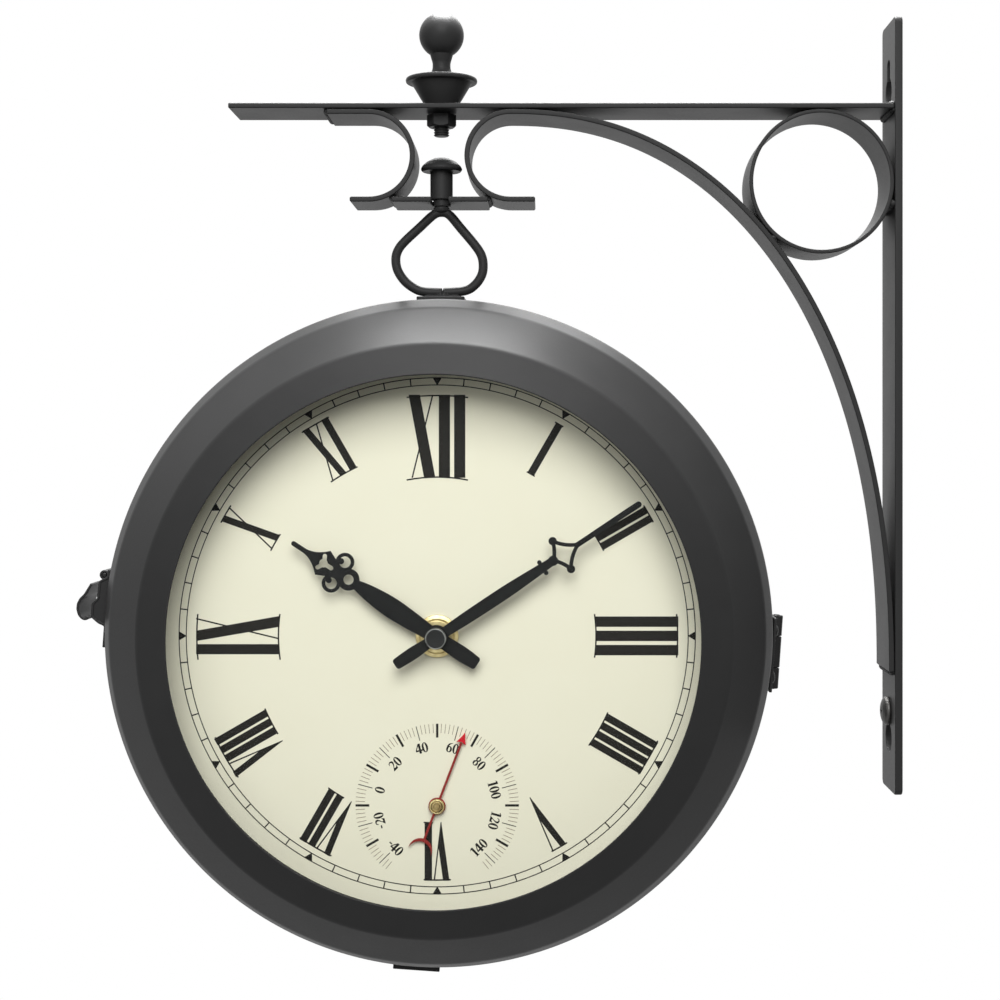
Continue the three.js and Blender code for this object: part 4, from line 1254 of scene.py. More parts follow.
@dataclass
class Finial:
    """The ball on its neck, the dished cup under it and the nut below the arm."""

    body: str = "bracket"
    x: float = CLOCK_X
    arm_low: float = ARM_LOW
    arm_top: float = ARM_LOW + STRAP

    def build(self) -> None:
        """Makes the three pieces."""
        at = spot(self.x, 0, 0)
        make("finial.knob", self.knob(), COAT, self.body, "finial_knob", at=at)
        make("finial.cup", self.cup(), COAT, self.body, "finial_cup", at=at)
        make("finial.nut", self.nut(), COAT, self.body, "finial_nut", at=at)

    def knob(self) -> Form:
        """Ball, neck and threaded stud.

        Returns:
            The form.
        """
        foot, ball, neck = 128.45, 8.75, 3.3
        centre = foot + 9.2 + math.sqrt(ball**2 - neck**2) - 0.6
        thread: Outline = [(0, self.arm_low - 8.8), (2.5, self.arm_low - 8.8)]
        z = self.arm_low - 8.4
        while z < foot - 0.6:
            thread += [(3.0, z), (3.0, z + 0.15), (2.62, z + 0.5), (2.62, z + 0.6)]
            z += 1.0
        round_part = [
            (max(ball * math.sin(a), 0), centre - ball * math.cos(a))
            for a in (math.radians(31 + 149 * i / 28) for i in range(29))
        ]
        round_part[-1] = (0, centre + ball)
        neck_part = rounded(
            [
                (3.0, foot), (5.2, foot), (5.0, foot + 0.8), (neck + 0.2, foot + 3.2),
                (neck + 0.2, foot + 5.8), round_part[0],
            ],
            [0, 0.3, 0.6, 4, 4, 0],
            closed=False,
        )
        return Form().lathe([*thread, *neck_part, *round_part[1:]], 72)

    def cup(self) -> Form:
        """The cup: a cone that ends in a rounded rim, dished on top.

        Returns:
            The form.
        """
        foot, bore = self.arm_top + 0.3, 3.3
        rim = foot + 9.7
        corners = [
            (bore, foot), (6, foot), (11.8, rim), (13.8, rim), (14, rim + 0.9), (13.8, rim + 1.8),
            (11.2, rim + 1.8), (8.0, rim + 1.0), (5.0, rim + 1.0), (4.6, rim + 1.8), (bore, rim + 1.8),
        ]
        return Form().lathe(rounded(corners, [0, 0.6, 0.8, 0.7, 0.5, 0.7, 0.6, 1, 0.4, 0.3, 0], steps=4), 96)

    def nut(self) -> Form:
        """The hexagon nut, chamfered below.

        Returns:
            The form.
        """
        top, height, flats = self.arm_low - 0.3, 5.0, 10.0
        corner = flats / math.sqrt(3)
        hexagon = [(corner * math.cos(a), corner * math.sin(a)) for a in (math.pi / 3 * k for k in range(6))]
        blank = Form().slab([rounded(hexagon, 0.3, steps=3)], top - height, top, 0.12)
        low, wide = top - height, corner + 0.1
        chamfer = [(0, low), (4.8, low), (wide, top - 4.1), (wide, top), (0, top)]
        blank.combine(Form().lathe(chamfer, 72), Join.KEEP)
        bore = Form().lathe([(0, top - 9), (3.3, top - 9), (3.3, top + 1), (0, top + 1)], 40)
        return blank.combine(bore, Join.CUT)


def round_off(reach: float) -> float:
    """How far the case's round side falls away at a distance from its top."""
    return CASE_RADIUS - math.sqrt(CASE_RADIUS**2 - reach**2)


def rivet(grip: float, radius: float = 1.3, head: float = RIVET_HEAD, height: float = 1.2) -> Form:
    """A domed rivet, its head above zero.

    Args:
        grip: The thickness that it holds.
        radius: The shank's radius.
        head: The head's radius.
        height: The head's height.

    Returns:
        The form.
    """
    dome = [(head * math.sin(a), height * math.cos(a)) for a in (math.radians(7.5 * k) for k in range(1, 13))]
    tail, wide = -grip - GAP, head * 0.8
    end = tail - 1
    rest = [(radius, 0), (radius, tail), (wide, tail), (wide, end + 0.3), (wide - 0.3, end), (0, end)]
    return Form().lathe([(0, height), *dome, *rest], 40)


@dataclass
class Hanger:
    """The mushroom pin, the hand-bent wire loop and the plate on top of the case."""

    body: str = "clock"
    x: float = CLOCK_X
    shoulder: float = 80.65
    neck_foot: float = 78.0
    loop_top: float = 75.9
    wire: float = 1.8
    plate_top: float = 42.4
    plate_thickness: float = 1.5
    rivet_y: float = 11.0
    rivet_sides: tuple[float, float] = (-5, 5)

    def build(self) -> None:
        """Makes the hanger's pieces."""
        at = spot(self.x, 0, 0)
        make("hanger.pin", self.pin(), COAT, self.body, "hanger_pin", at=at)
        make("hanger.loop", self.loop(), COAT, self.body, "hanger_loop", at=at)
        make("hanger.plate", self.plate(), COAT, self.body, "hanger_plate", at=at)
        make("hanger.weld", self.weld(), COAT, self.body, at=at, crease=60)
        make("hanger.pin_weld", self.pin_weld(), COAT, self.body, at=at, crease=60)
        for number, side in enumerate(self.rivet_sides, 1):
            grip = GAP + self.plate_thickness + GAP + SHEET + round_off(abs(side) + RIVET_HEAD)
            place = spot(self.x + side, self.rivet_y, self.plate_top + GAP)
            name = f"hanger.rivet_{number}"
            make(name, rivet(grip), PAINTED, self.body, f"hanger_rivet_{number}", at=place)

    def pin(self) -> Form:
        """The pin: neck, shank and domed head.

        Returns:
            The form.
        """
        head = self.shoulder + 11
        corners = [
            (0, self.neck_foot), (3.2, self.neck_foot), (3.2, self.shoulder), (4.4, self.shoulder),
            (4.4, head + 0.3), (7.4, head), (8.2, head + 1), (7.5, head + 2.3), (5.6, head + 4),
            (3, head + 5.3), (0, head + 5.7),
        ]
        return round_bar(corners, [0, 0.4, 0, 0.4, 0.8, 0.5, 0.8, 2, 4, 5, 0], 72)

    def loop(self) -> Form:
        """The loop, open where its two ends meet over the plate.

        Returns:
            The form.
        """
        bend = [
            (0.2, 31.4), (-6.6, 31.1), (-10.4, 29.9), (-14.4, 26.9), (-17.2, 22.6), (-17.9, 18.2),
            (-16.9, 14.6), (-14.2, 11.2), (-8.5, 5.9), (-3.2, 1.05), (0, 0), (3.1, 1.05), (7.6, 6.3),
            (12.9, 12.6), (15.5, 16.6), (16.3, 20.6), (15.7, 24.6), (13.1, 28.4), (9.1, 30.7), (0.7, 31.4),
        ]
        path = [Vector((side, 0, self.loop_top - down)) for side, down in smooth_line(bend, 7)]
        return Form().sweep(path, disc(0, 0, self.wire, 24), Y_AXIS, 0.25)

    def plate(self) -> Form:
        """The plate that the loop is welded to.

        Returns:
            The form.
        """
        outline = rounded(rectangle(-9.3, -8, 9.3, 18), 1.2)
        holes = [disc(side, self.rivet_y, 1.6, 24) for side in self.rivet_sides]
        low = self.plate_top - self.plate_thickness
        return Form().slab(merge([outline], holes), low, self.plate_top, 0.35)

    def weld(self) -> Form:
        """The bead that closes the loop and holds it to the plate."""
        z = self.plate_top + 1.0
        form = Form().bead(Vector((-2.4, 0, z)), Vector((3.4, 0, z)), 2.0, 1.3)
        return form.bead(Vector((-6.5, -1.7, z - 0.6)), Vector((7.5, -1.7, z - 0.6)), 0.9)

    def pin_weld(self) -> Form:
        """The ring of weld between the pin's neck and the top of the loop."""
        z = self.neck_foot - 0.3
        profile = [(0, z + 0.5), (2.4, z + 0.5), (3.3, z - 0.3), (3.0, z - 1.5), (1.8, z - 2.3), (0, z - 2.4)]
        return round_bar(profile, [0, 0.5, 0.7, 0.7, 0.7, 0], 40)


@dataclass
class CaseHalf:
    """One pressed dish of the case with what it holds: gasket, glass, spacer, dial and retainer."""

    side: Side
    opening: float = 97.2
    opening_depth: float = 49.8
    glass_radius: float = 104.5

    def __post_init__(self) -> None:
        """Sets the frame of this face: x to the viewer's right, y up, z towards the viewer."""
        sign = self.side.sign
        self.at = turned(X_AXIS * -sign, Z_AXIS, Y_AXIS * sign, Vector((CLOCK_X, 0, CLOCK_Z)))

    def build(self) -> None:
        """Makes the half's fixed pieces."""
        self.part("shell", self.shell(), COAT)
        self.part("gasket", self.gasket(), RUBBER)
        self.part("glass", self.band_ring(0, self.glass_radius, 41.1, 43.6), GLASS)
        self.part("spacer_ring", self.band_ring(103.0, self.glass_radius, 27.3, 40.8), BLACK_ENAMEL)
        self.part("dial", self.dial(), IVORY)
        retainer = self.node_radius("retaining_ring")
        self.part("retaining_ring", self.band_ring(retainer - 5.5, retainer, 23.5, 25.5), ZINC)

    def part(self, name: str, form: Form, finish: Finish) -> None:
        """Makes one piece that stands for the node of the same name."""
        prefix = self.side.prefix
        make(f"{prefix}.{name}", form, finish, self.side.value, f"{prefix}_{name}", at=self.at)

    def node_radius(self, name: str) -> float:
        """The radius of a round node of this half, in millimetres."""
        low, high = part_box(f"{self.side.prefix}_{name}")
        return (high.x - low.x) / 2 / MM

    def band_ring(self, inner: float, outer: float, low: float, high: float) -> Form:
        """A flat or tall ring with eased edges, or a disc where inner is 0.

        Args:
            inner: Its hole's radius.
            outer: Its outer radius.
            low: Height of its underside.
            high: Height of its top.

        Returns:
            The form.
        """
        ease = 0.25
        if inner:
            return Form().lathe(rounded(rectangle(inner, low, outer, high), ease, steps=2), 160)
        corners = [(0, low), (outer, low), (outer, high), (0, high)]
        return round_bar(corners, [0, ease, ease, 0], 160, 3)

    def shell(self) -> Form:
        """The dish: straight rim, shoulder, cone, flatter bezel and a turned-in opening.

        Returns:
            The form.
        """
        seam, wall = GAP / 2, CASE_RADIUS
        outside = [(wall, seam), (wall, 18), (123.5, 27), (109.1, 44.4), (self.opening, self.opening_depth)]
        inner = moved_in(outside, SHEET, closed=False)
        lip = (self.opening, inner[-1][1])
        corners = [*outside, lip, *reversed(inner[1:-1]), (wall - SHEET, seam)]
        radii = [0.25, 9, 9, 5, 0.55, 0.35, 4, 8, 8, 0.25]
        return Form().lathe(rounded(corners, radii, steps=9), 288)

    def gasket(self) -> Form:
        """The rubber ring between the dish and the glass."""
        corners = [(98.5, 43.9), (104.5, 43.9), (104.5, 44.65), (98.5, 47.4)]
        return Form().lathe(rounded(corners, 0.25, steps=2), 160)

    def dial(self) -> Form:
        """The dial plate with its two holes."""
        rim = disc(0, 0, self.node_radius("dial"), 220)
        loops = merge([rim], [disc(0, 0, 4.1), disc(0, -SCALE_DROP, 2.1)])
        return Form().slab(loops, 25.8, DIAL_FACE, 0.2)


@dataclass(frozen=True)
class Numeral:
    """One hour's numeral: strokes by their offsets clockwise from the numeral's radius."""

    hour: int
    outer: float
    inner: float
    bars: tuple[Point, ...] = ()
    slants: tuple[tuple[float, float, float, float], ...] = ()
    hairs: tuple[Point, ...] = ()
    wedge: tuple[float, float, float, float] | None = None
    outer_serif: Point = (0, 0)
    inner_serif: Point = (0, 0)

    def outlines(self) -> list[Outline]:
        """The numeral's strokes, upright at twelve.

        Returns:
            The outlines.
        """
        thin, hair = 0.55, 0.28
        shapes = [
            [(low, self.outer), (high, self.outer), (high, self.inner), (low, self.inner)]
            for low, high in self.bars
        ]
        for a, b, c, d in self.slants:
            shapes.append([(a, self.outer), (b, self.outer), (d, self.inner), (c, self.inner)])
        for top, foot in self.hairs:
            head = [(top - hair, self.outer), (top + hair, self.outer)]
            shapes.append([*head, (foot + hair, self.inner), (foot - hair, self.inner)])
        if self.wedge:
            low, high, line, apex = self.wedge
            share = (line - high) / (line - low)
            meet = (line + (apex - line) * share, self.outer + (self.inner - self.outer) * share)
            shapes.append([(low, self.outer), (high, self.outer), meet, (apex, self.inner)])
            head = [(line - hair, self.outer), (line + hair, self.outer)]
            shapes.append([*head, (apex + hair, self.inner), (apex - 0.1, self.inner)])
        for radius, (low, high) in ((self.outer - thin, self.outer_serif), (self.inner, self.inner_serif)):
            if high > low:
                shapes.append(self.serif(radius, radius + thin, low, high))
        return shapes

    @staticmethod
    def serif(inner: float, outer: float, low: float, high: float) -> Outline:
        """A thin serif that follows the dial's curve."""
        start, end = 90 - math.degrees(low / inner), 90 - math.degrees(high / inner)
        return [*arc(0, 0, outer, start, end, 8), *arc(0, 0, inner, end, start, 8)]


def short(hour: int, left: float, bars: int, wedge: bool = False, slant: bool = False) -> Numeral:
    """A numeral of the lesser hours.

    Args:
        hour: The hour.
        left: The offset of its first stroke's edge.
        bars: How many upright strokes it ends in.
        wedge: Whether it starts with a V.
        slant: Whether it starts with an X.

    Returns:
        The numeral.
    """
    outer, inner, bar, pitch = 92.0, 70.0, 2.8, 3.62
    start = left + (6.55 if wedge else 8.1 if slant else 0)
    uprights = tuple((start + pitch * k, start + pitch * k + bar) for k in range(bars))
    end = uprights[-1][1] if bars else left + (5.9 if wedge else 6.6)
    foot = (start - 0.35, end + 0.35) if bars else (0, 0)
    if slant:
        foot = (left - 0.3, end + 0.35)
    return Numeral(
        hour,
        outer,
        inner,
        uprights,
        ((left, left + 2.6, left + 4.0, left + 6.6),) if slant else (),
        ((left + 6.0, left + 0.6),) if slant else (),
        (left, left + 2.4, left + 5.7, left + 3.05) if wedge else None,
        (left - 0.5, end + 0.35),
        foot,
    )


NUMERALS = (
    Numeral(
        0, 90.6, 59.4, ((0.6, 4.8), (6.35, 10.55)), ((-10.75, -6.5, -4.95, -0.7),), ((-1.7, -9.4),),
        outer_serif=(-11.5, 11.6), inner_serif=(-11.5, 11.6),
    ),
    short(1, -1.37, 1),
    short(2, -3.15, 2),
    Numeral(
        3, 90.6, 59.4, ((-7.3, -3.4), (-1.95, 1.95), (3.4, 7.3)),
        outer_serif=(-8.2, 8.2), inner_serif=(-8.2, 8.2),
    ),
    short(4, -6.8, 4),
    short(5, -2.95, 0, wedge=True),
    short(6, -4.6, 1, wedge=True),
    short(7, -6.4, 2, wedge=True),
    short(8, -8.2, 3, wedge=True),
    Numeral(
        9, 90.6, 59.4, ((-6.9, -3.1),), ((-1.95, 1.95, 3.4, 7.45),), ((6.5, -1.05),),
        outer_serif=(-8.96, 8.2), inner_serif=(-8.96, 8.2),
    ),
    short(10, -3.3, 0, slant=True),
    short(11, -5.4, 1, slant=True),
)


# Plain bold figures for a scale, one unit high and drawn about their middle: their outlines and holes.
FIGURES: dict[str, tuple[list[Outline], list[Outline]]] = {
    "0": ([ellipse(0, 0, 0.3, 0.5)], [ellipse(0, 0, 0.1, 0.43)]),
    "1": (
        [
            rectangle(-0.1, -0.5, 0.11, 0.5),
            [(-0.1, 0.5), (-0.26, 0.36), (-0.26, 0.31), (-0.1, 0.37)],
            rectangle(-0.2, -0.5, 0.21, -0.45),
        ],
        [],
    ),
    "2": (
        [
            rounded(
                [
                    (-0.28, 0.2), (-0.22, 0.42), (0.0, 0.5), (0.22, 0.42), (0.26, 0.22), (0.14, 0.0),
                    (-0.1, -0.3), (0.14, -0.3), (0.23, -0.2), (0.29, -0.2), (0.23, -0.5), (-0.31, -0.5),
                    (-0.31, -0.46), (-0.05, -0.12), (0.07, 0.1), (0.08, 0.28), (-0.03, 0.39), (-0.16, 0.34),
                    (-0.23, 0.2),
                ],
                0.05,
                steps=2,
            )
        ],
        [],
    ),
    "4": (
        [
            [
                (0.0, 0.5), (0.2, 0.5), (0.2, -0.12), (0.33, -0.12), (0.33, -0.27), (0.2, -0.27),
                (0.2, -0.5), (-0.02, -0.5), (-0.02, -0.27), (-0.34, -0.27), (-0.34, -0.13),
            ]
        ],
        [[(-0.02, -0.12), (-0.02, 0.27), (-0.23, -0.12)]],
    ),
    "6": (
        [
            ellipse(0, -0.19, 0.29, 0.31),
            [
                (-0.29, -0.17), (-0.26, 0.12), (-0.12, 0.36), (0.23, 0.5), (0.24, 0.46), (0.03, 0.31),
                (-0.1, 0.1), (-0.13, -0.1),
            ],
        ],
        [ellipse(0, -0.2, 0.1, 0.23)],
    ),
    "8": (
        [ellipse(0, 0.25, 0.24, 0.25), ellipse(0, -0.23, 0.28, 0.27)],
        [ellipse(0, 0.27, 0.09, 0.17), ellipse(0, -0.24, 0.1, 0.2)],
    ),
    "-": ([rectangle(-0.15, -0.08, 0.15, 0.05)], []),
}


@dataclass
class DialPrint:
    """The print of one dial: minute ring, numerals and the temperature scale."""

    half: CaseHalf
    face: float = DIAL_FACE
    raised: float = 0.05
    ring_outer: float = 97.0
    ring_inner: float = 94.3
    line: float = 0.37
    half_tick: float = 0.225
    mark: float = 1.6
    tick_top: float = 30.7
    upright_to: float = 106.0
    number_radius: float = 22.3
    number_height: float = 3.8

    def build(self) -> None:
        """Makes the print as five pieces in two inks, black and brown."""
        self.lay("minute_ring", *self.minute_ring(), BLACK_INK)
        self.lay("numerals", *self.numerals(), BLACK_INK)
        self.lay("scale_lines", self.scale_lines(), [], BLACK_INK)
        self.lay("scale_hairlines", self.scale_hairlines(), [], BROWN_INK)
        self.lay("scale_numbers", *self.scale_numbers(), BLACK_INK)

    def lay(self, name: str, solids: list[Outline], holes: list[Outline], ink: Ink) -> None:
        """Lays one group of outlines on the dial as a thin film of ink."""
        form = Form().slab(merge(solids, holes), self.face - 0.02, self.face + self.raised)
        make(f"{self.half.side.prefix}.print.{name}", form, ink, self.half.side.value, at=self.half.at)

    @staticmethod
    def turn(points: Outline, degrees: float) -> Outline:
        """An outline turned clockwise about the dial's centre."""
        a = math.radians(degrees)
        return [(x * math.cos(a) + y * math.sin(a), y * math.cos(a) - x * math.sin(a)) for x, y in points]

    def minute_ring(self) -> tuple[list[Outline], list[Outline]]:
        """Two circles with a tick each minute and a triangle every five.

        Returns:
            The outlines and the holes in them.
        """
        half = self.line / 2
        low, high = self.ring_inner + half, self.ring_outer - half
        tick = math.degrees(self.half_tick / self.ring_inner)
        mark = math.degrees(self.mark / high) - tick
        holes = []
        for minute in range(60):
            left, right = 90 - 6 * minute - tick, 90 - 6 * (minute + 1) + tick
            far_left = left - mark if minute % 5 == 0 else left
            far_right = right + mark if minute % 5 == 4 else right
            holes.append([*arc(0, 0, low, left, right, 4), *arc(0, 0, high, far_right, far_left, 4)])
        holes.append(disc(0, 0, self.ring_inner - half, 240))
        return [disc(0, 0, self.ring_outer + half, 240)], holes

    def numerals(self) -> tuple[list[Outline], list[Outline]]:
        """The twelve numerals."""
        return [self.turn(shape, 30 * n.hour) for n in NUMERALS for shape in n.outlines()], []

    def at_scale(self, points: Outline, degrees: float) -> Outline:
        """An outline drawn upright about the scale's centre, turned and moved to its place."""
        return [(x, y - SCALE_DROP) for x, y in self.turn(points, degrees)]

    def ticks(self, half: float, low: float, angles: Iterable[int]) -> list[Outline]:
        """Ticks of one width and length at several angles."""
        return [self.at_scale(rectangle(-half, low, half, self.tick_top), angle) for angle in angles]

    def scale_lines(self) -> list[Outline]:
        """The bold and the fine long ticks of the scale."""
        bold = self.ticks(0.44, 25.5, range(-120, 121, 30))
        return bold + self.ticks(0.15, 25.2, range(-135, 136, 30))

    def scale_hairlines(self) -> list[Outline]:
        """The hairline ticks between them."""
        return self.ticks(0.09, 27.2, [angle for angle in range(-141, 142, 3) if angle % 15])

    def scale_numbers(self) -> tuple[list[Outline], list[Outline]]:
        """The scale's numbers round the arc.

        Returns:
            The outlines and the holes in them.
        """
        solids: list[Outline] = []
        holes: list[Outline] = []
        for i, value in enumerate(range(-40, 141, 20)):
            angle = -135 + 30 * i
            tops = Tops.INWARD if abs(angle) > self.upright_to else Tops.OUTWARD
            text = str(value)
            size = self.number_height
            widths = [0.44 if c == "-" else 0.5 if c == "1" else 0.62 for c in text]
            x = -sum(widths) / 2
            for figure, width in zip(text, widths):
                x += width / 2
                for group, found in zip((solids, holes), FIGURES[figure]):
                    for shape in found:
                        drawn = [((px + x) * size, py * size) for px, py in shape]
                        group.append(self.number_at(drawn, angle, tops))
                x += width / 2
        return solids, holes

    def number_at(self, points: Outline, angle: float, tops: Tops) -> Outline:
        """A number's outline at its place on the scale."""
        flipped = [(x * tops.value, self.number_radius + y * tops.value) for x, y in points]
        return self.at_scale(flipped, angle)


@dataclass
class Hands:
    """The pierced hour and minute hand, their cap and the brass nut below them."""

    half: CaseHalf
    hour_angle: float = 303.3
    minute_angle: float = 56.6
    thickness: float = 0.6
    hour_face: float = 32.2
    minute_face: float = 34.6
    hour_length: float = 64.6
    minute_length: float = 91.3
    tail: float = 18.3
    edge: float = 0.16

    def build(self) -> None:
        """Makes the hands and what holds them."""
        prefix = self.half.side.prefix
        at = self.half.at
        hour_at = at @ Matrix.Rotation(-math.radians(self.hour_angle), 4, "Z")
        minute_at = at @ Matrix.Rotation(-math.radians(self.minute_angle), 4, "Z")
        slow, fast = f"{prefix}_hour", f"{prefix}_minute"
        make(f"{prefix}.hour_hand", self.hour(), BLACK_ENAMEL, slow, f"{slow}_hand", at=hour_at)
        make(f"{prefix}.minute_hand", self.minute(), BLACK_ENAMEL, fast, f"{fast}_hand", at=minute_at)
        make(f"{prefix}.hand_cap", self.cap(), CAP_ENAMEL, fast, f"{prefix}_hand_cap", at=minute_at)
        # The cap's bright edge ring is a painted highlight.
        make(f"{prefix}.hand_cap_edge", self.cap_edge(), CAP_HIGHLIGHT, fast, at=minute_at)
        self.half.part("dial_nut", self.nut(), BRASS)

    def blade(self, stations: Outline) -> Outline:
        """A leaf from pairs of height and half width."""
        right = smooth_line([(half, up) for up, half in stations], 10)
        return [*right, *reversed([(-x, y) for x, y in right])]

    def tail_end(self, half: float) -> Outline:
        """The rounded end of a hand's tail."""
        return rounded(rectangle(-half, -self.tail, half, -self.tail + 4), 1.1)

    def plate(self, solids: list[Outline], holes: list[Outline], face: float) -> Form:
        """The stamped plate of a hand."""
        return Form().slab(merge(solids, holes), face - self.thickness, face, self.edge)

    def hour(self) -> Form:
        """A leaf, an eye, two open curls and a pierced spade.

        Returns:
            The form.
        """
        length, eye, curl, side, spade = self.hour_length, 39.2, 43.9, 4.7, 50.7
        tip = 0.9
        spade_shape = [
            (-1.5, 42.5), (1.5, 42.5), (5.3, spade),
            *bowed((5.3, spade), (1.4, spade + 3.6), (tip, spade + 8))[1:],
            *arc(0, length - tip, tip, 0, 180, 10),
            *bowed((-tip, spade + 8), (-1.4, spade + 3.6), (-5.3, spade)),
        ]
        heart = 50.0
        window = merge(
            [
                disc(0, heart + 0.4, 1.6),
                *(
                    part
                    for x, y, end in ((2.5, 51.4, 0.8), (-2.5, 51.4, 0.8), (0, 47.0, 0.85))
                    for part in (strip([(0, heart), (x, y)], 2 * end), disc(x, y, end, 24))
                ),
            ]
        )
        curl_holes = [
            loop
            for s in (-1, 1)
            for loop in merge([disc(s * side, curl, 2.15)], [disc(s * side - s * 0.5, curl + 1.4, 1.15, 32)])
        ]
        end = 1.2 - self.tail
        leaf = self.blade([(end, 2.5), (-11, 2.9), (0, 2.6), (12, 3.5), (21, 3.8), (30, 3), (36.5, 1.7)])
        curls = [disc(side, curl, 3.5), disc(-side, curl, 3.5)]
        solids = [leaf, self.tail_end(2.5), disc(0, 0, 4.6), disc(0, eye, 4.1), *curls, spade_shape]
        return self.plate(solids, [disc(0, 0, 2.9), disc(0, eye, 1.9), *curl_holes, *window], self.hour_face)

    def minute(self) -> Form:
        """A long leaf, a small crossbar, an open four-pointed star and a slender shaft.

        Returns:
            The form.
        """
        length, cross, star, corner, side, top = self.minute_length, 47.5, 52.4, 56.0, 6.2, 62.4
        tip = 1.15
        shaft = self.blade([(top - 0.6, 1), (top + 4, 1), (length - tip - 6.85, tip), (length - tip, tip)])
        ribs, end = [], 1.2 - self.tail
        for s in (-1, 1):
            ribs.append(strip(bowed((0, star), (s * 3.2, star + 2.8), (s * side, corner)), 1.4))
            ribs.append(strip(bowed((s * side, corner), (s * 2.1, corner + 2.6), (0, top + 0.8)), 1.4))
        solids = [
            self.tail_end(2.1),
            self.blade([(end, 2.1), (-10, 2.35), (0, 1.9), (14, 2.3), (30, 2.4), (41, 2.05), (star, 1.5)]),
            disc(0, 0, 4.3),
            rectangle(-2.3, cross - 0.6, 2.3, cross + 0.6),
            disc(-2.3, cross, 0.85, 24),
            disc(2.3, cross, 0.85, 24),
            disc(0, star - 0.3, 1.9, 32),
            disc(-side, corner, 1.55, 32),
            disc(side, corner, 1.55, 32),
            *ribs,
            shaft,
            disc(0, length - tip, tip, 24),
        ]
        return self.plate(solids, [disc(0, 0, 1.9)], self.minute_face)

    def cap(self) -> Form:
        """The cap nut over the shafts; the bright line at its rim is a separate painted highlight ring.

        Returns:
            The form.
        """
        back, radius, height = 34.9, 3.9, 2.7
        corners = [
            (1.9, back), (radius, back), (radius, back + height), (2.9, back + height),
            (0, back + height - 0.25), (0, 36.1), (1.9, 36.1),
        ]
        return round_bar(corners, [0, 0.15, 0.5, 0.3, 0, 0, 0], 64)

    def cap_edge(self) -> Form:
        """The cap's bright edge: a painted highlight, a thin metal ring that stands in for light caught on the
        cap's rim.
        """
        corners = [(3.45, 37.62), (3.62, 37.62), (3.92, 37.3), (3.92, 37.1), (3.45, 37.1)]
        return Form().lathe(rounded(corners, 0.05, steps=2), 64)

    def nut(self) -> Form:
        """The round two-step nut.

        Returns:
            The form.
        """
        back, bore, radius = 27.3, 4.1, 8.0
        corners = [
            (bore, back), (radius, back), (radius, back + 0.8), (radius - 1.4, back + 1.3),
            (radius - 2, back + 2.5), (bore, back + 2.5),
        ]
        return Form().lathe(rounded(corners, [0, 0.15, 0.25, 0.3, 0.35, 0.2], steps=4), 96)


@dataclass
class Thermometer:
    """The bimetal thermometer behind the dial and its red pointer in front."""

    half: CaseHalf
    angle: float = 21.0
    face: float = 28.6
    thickness: float = 0.5

    def build(self) -> None:
        """Makes drum, pointer and cap."""
        prefix = self.half.side.prefix
        at = self.half.at @ spot(0, -SCALE_DROP, 0)
        pointer_at = at @ Matrix.Rotation(-math.radians(self.angle), 4, "Z")
        make(f"{prefix}.thermometer", self.drum(), ZINC, self.half.side.value, f"{prefix}_thermometer", at=at)
        body = f"{prefix}_pointer"
        make(f"{prefix}.pointer", self.shaft(), DARK_RED, body, f"{prefix}_temperature_pointer", at=pointer_at)
        make(f"{prefix}.pointer_head", self.head(), RED_ENAMEL, body, at=pointer_at)
        make(f"{prefix}.pointer_cap", self.cap(), BRASS, body, f"{prefix}_pointer_cap", at=pointer_at)
        make(f"{prefix}.pointer_boss", self.boss(), OLD_BRASS, body, at=pointer_at)

    def drum(self) -> Form:
        """The drum with its coil's edge and the spindle.

        Returns:
            The form.
        """
        corners = [
            (0, 16.5), (5, 16.5), (5, 17.1), (14, 17.1), (15, 16.5), (16, 17.5), (16, 24), (16, 25.5),
            (1.8, 25.5), (1.8, 27.8), (0.9, 27.8), (0.9, 28.6), (0, 28.6),
        ]
        radii = [0, 0.2, 0.2, 0.3, 0.3, 0.4, 0, 0.2, 0.1, 0.1, 0, 0.1, 0]
        return round_bar(corners, radii, 96)

    def shaft(self) -> Form:
        """The pointer's slender shaft, hub and crescent tail.

        Returns:
            The form.
        """
        foot, radius, width = -13.8, 4.5, 1.3
        middle = foot - radius + width / 2
        crescent = merge([disc(0, middle, radius, 72)], [disc(0, middle - width, radius, 72)])
        solids = [rectangle(-0.44, foot, 0.44, 25.4), disc(0, 0, 3.2, 64), *crescent]
        loops = merge(solids, [disc(0, 0, 1.2, 24)])
        return Form().slab(loops, self.face - self.thickness, self.face, 0.1)

    def head(self) -> Form:
        """The solid arrow head."""
        outline = [(-1.9, 25.2), (0, 25.8), *bowed((1.9, 25.2), (0.75, 27.2), (0.08, 29.5), 6)]
        outline += bowed((-0.08, 29.5), (-0.75, 27.2), (-1.9, 25.2), 6)[:-1]
        return Form().slab(merge([outline]), self.face - self.thickness - 0.02, self.face + 0.04, 0.08)

    def cap(self) -> Form:
        """The brass cap: a bright raised ring round a dimple.

        Returns:
            The form.
        """
        back, radius = 28.9, 2.85
        corners = [
            (0, back), (radius, back), (radius, back + 0.6), (radius - 0.3, back + 1.1), (2.3, back + 1.1),
            (2.1, back + 0.6), (0, back + 0.6),
        ]
        return round_bar(corners, [0, 0.1, 0.25, 0.2, 0.1, 0.1, 0], 64)

    def boss(self) -> Form:
        """The tarnished boss in the cap's dimple, ringed by a fine groove.

        Returns:
            The form.
        """
        back = 29.45
        corners = [
            (0, back), (2.0, back), (2.0, back + 0.4), (1.7, back + 0.6), (1.25, back + 0.6),
            (1.15, back + 0.45), (1.0, back + 0.65), (0, back + 0.7),
        ]
        return round_bar(corners, [0, 0, 0.1, 0.1, 0.05, 0.05, 0.1, 0], 48, 3)


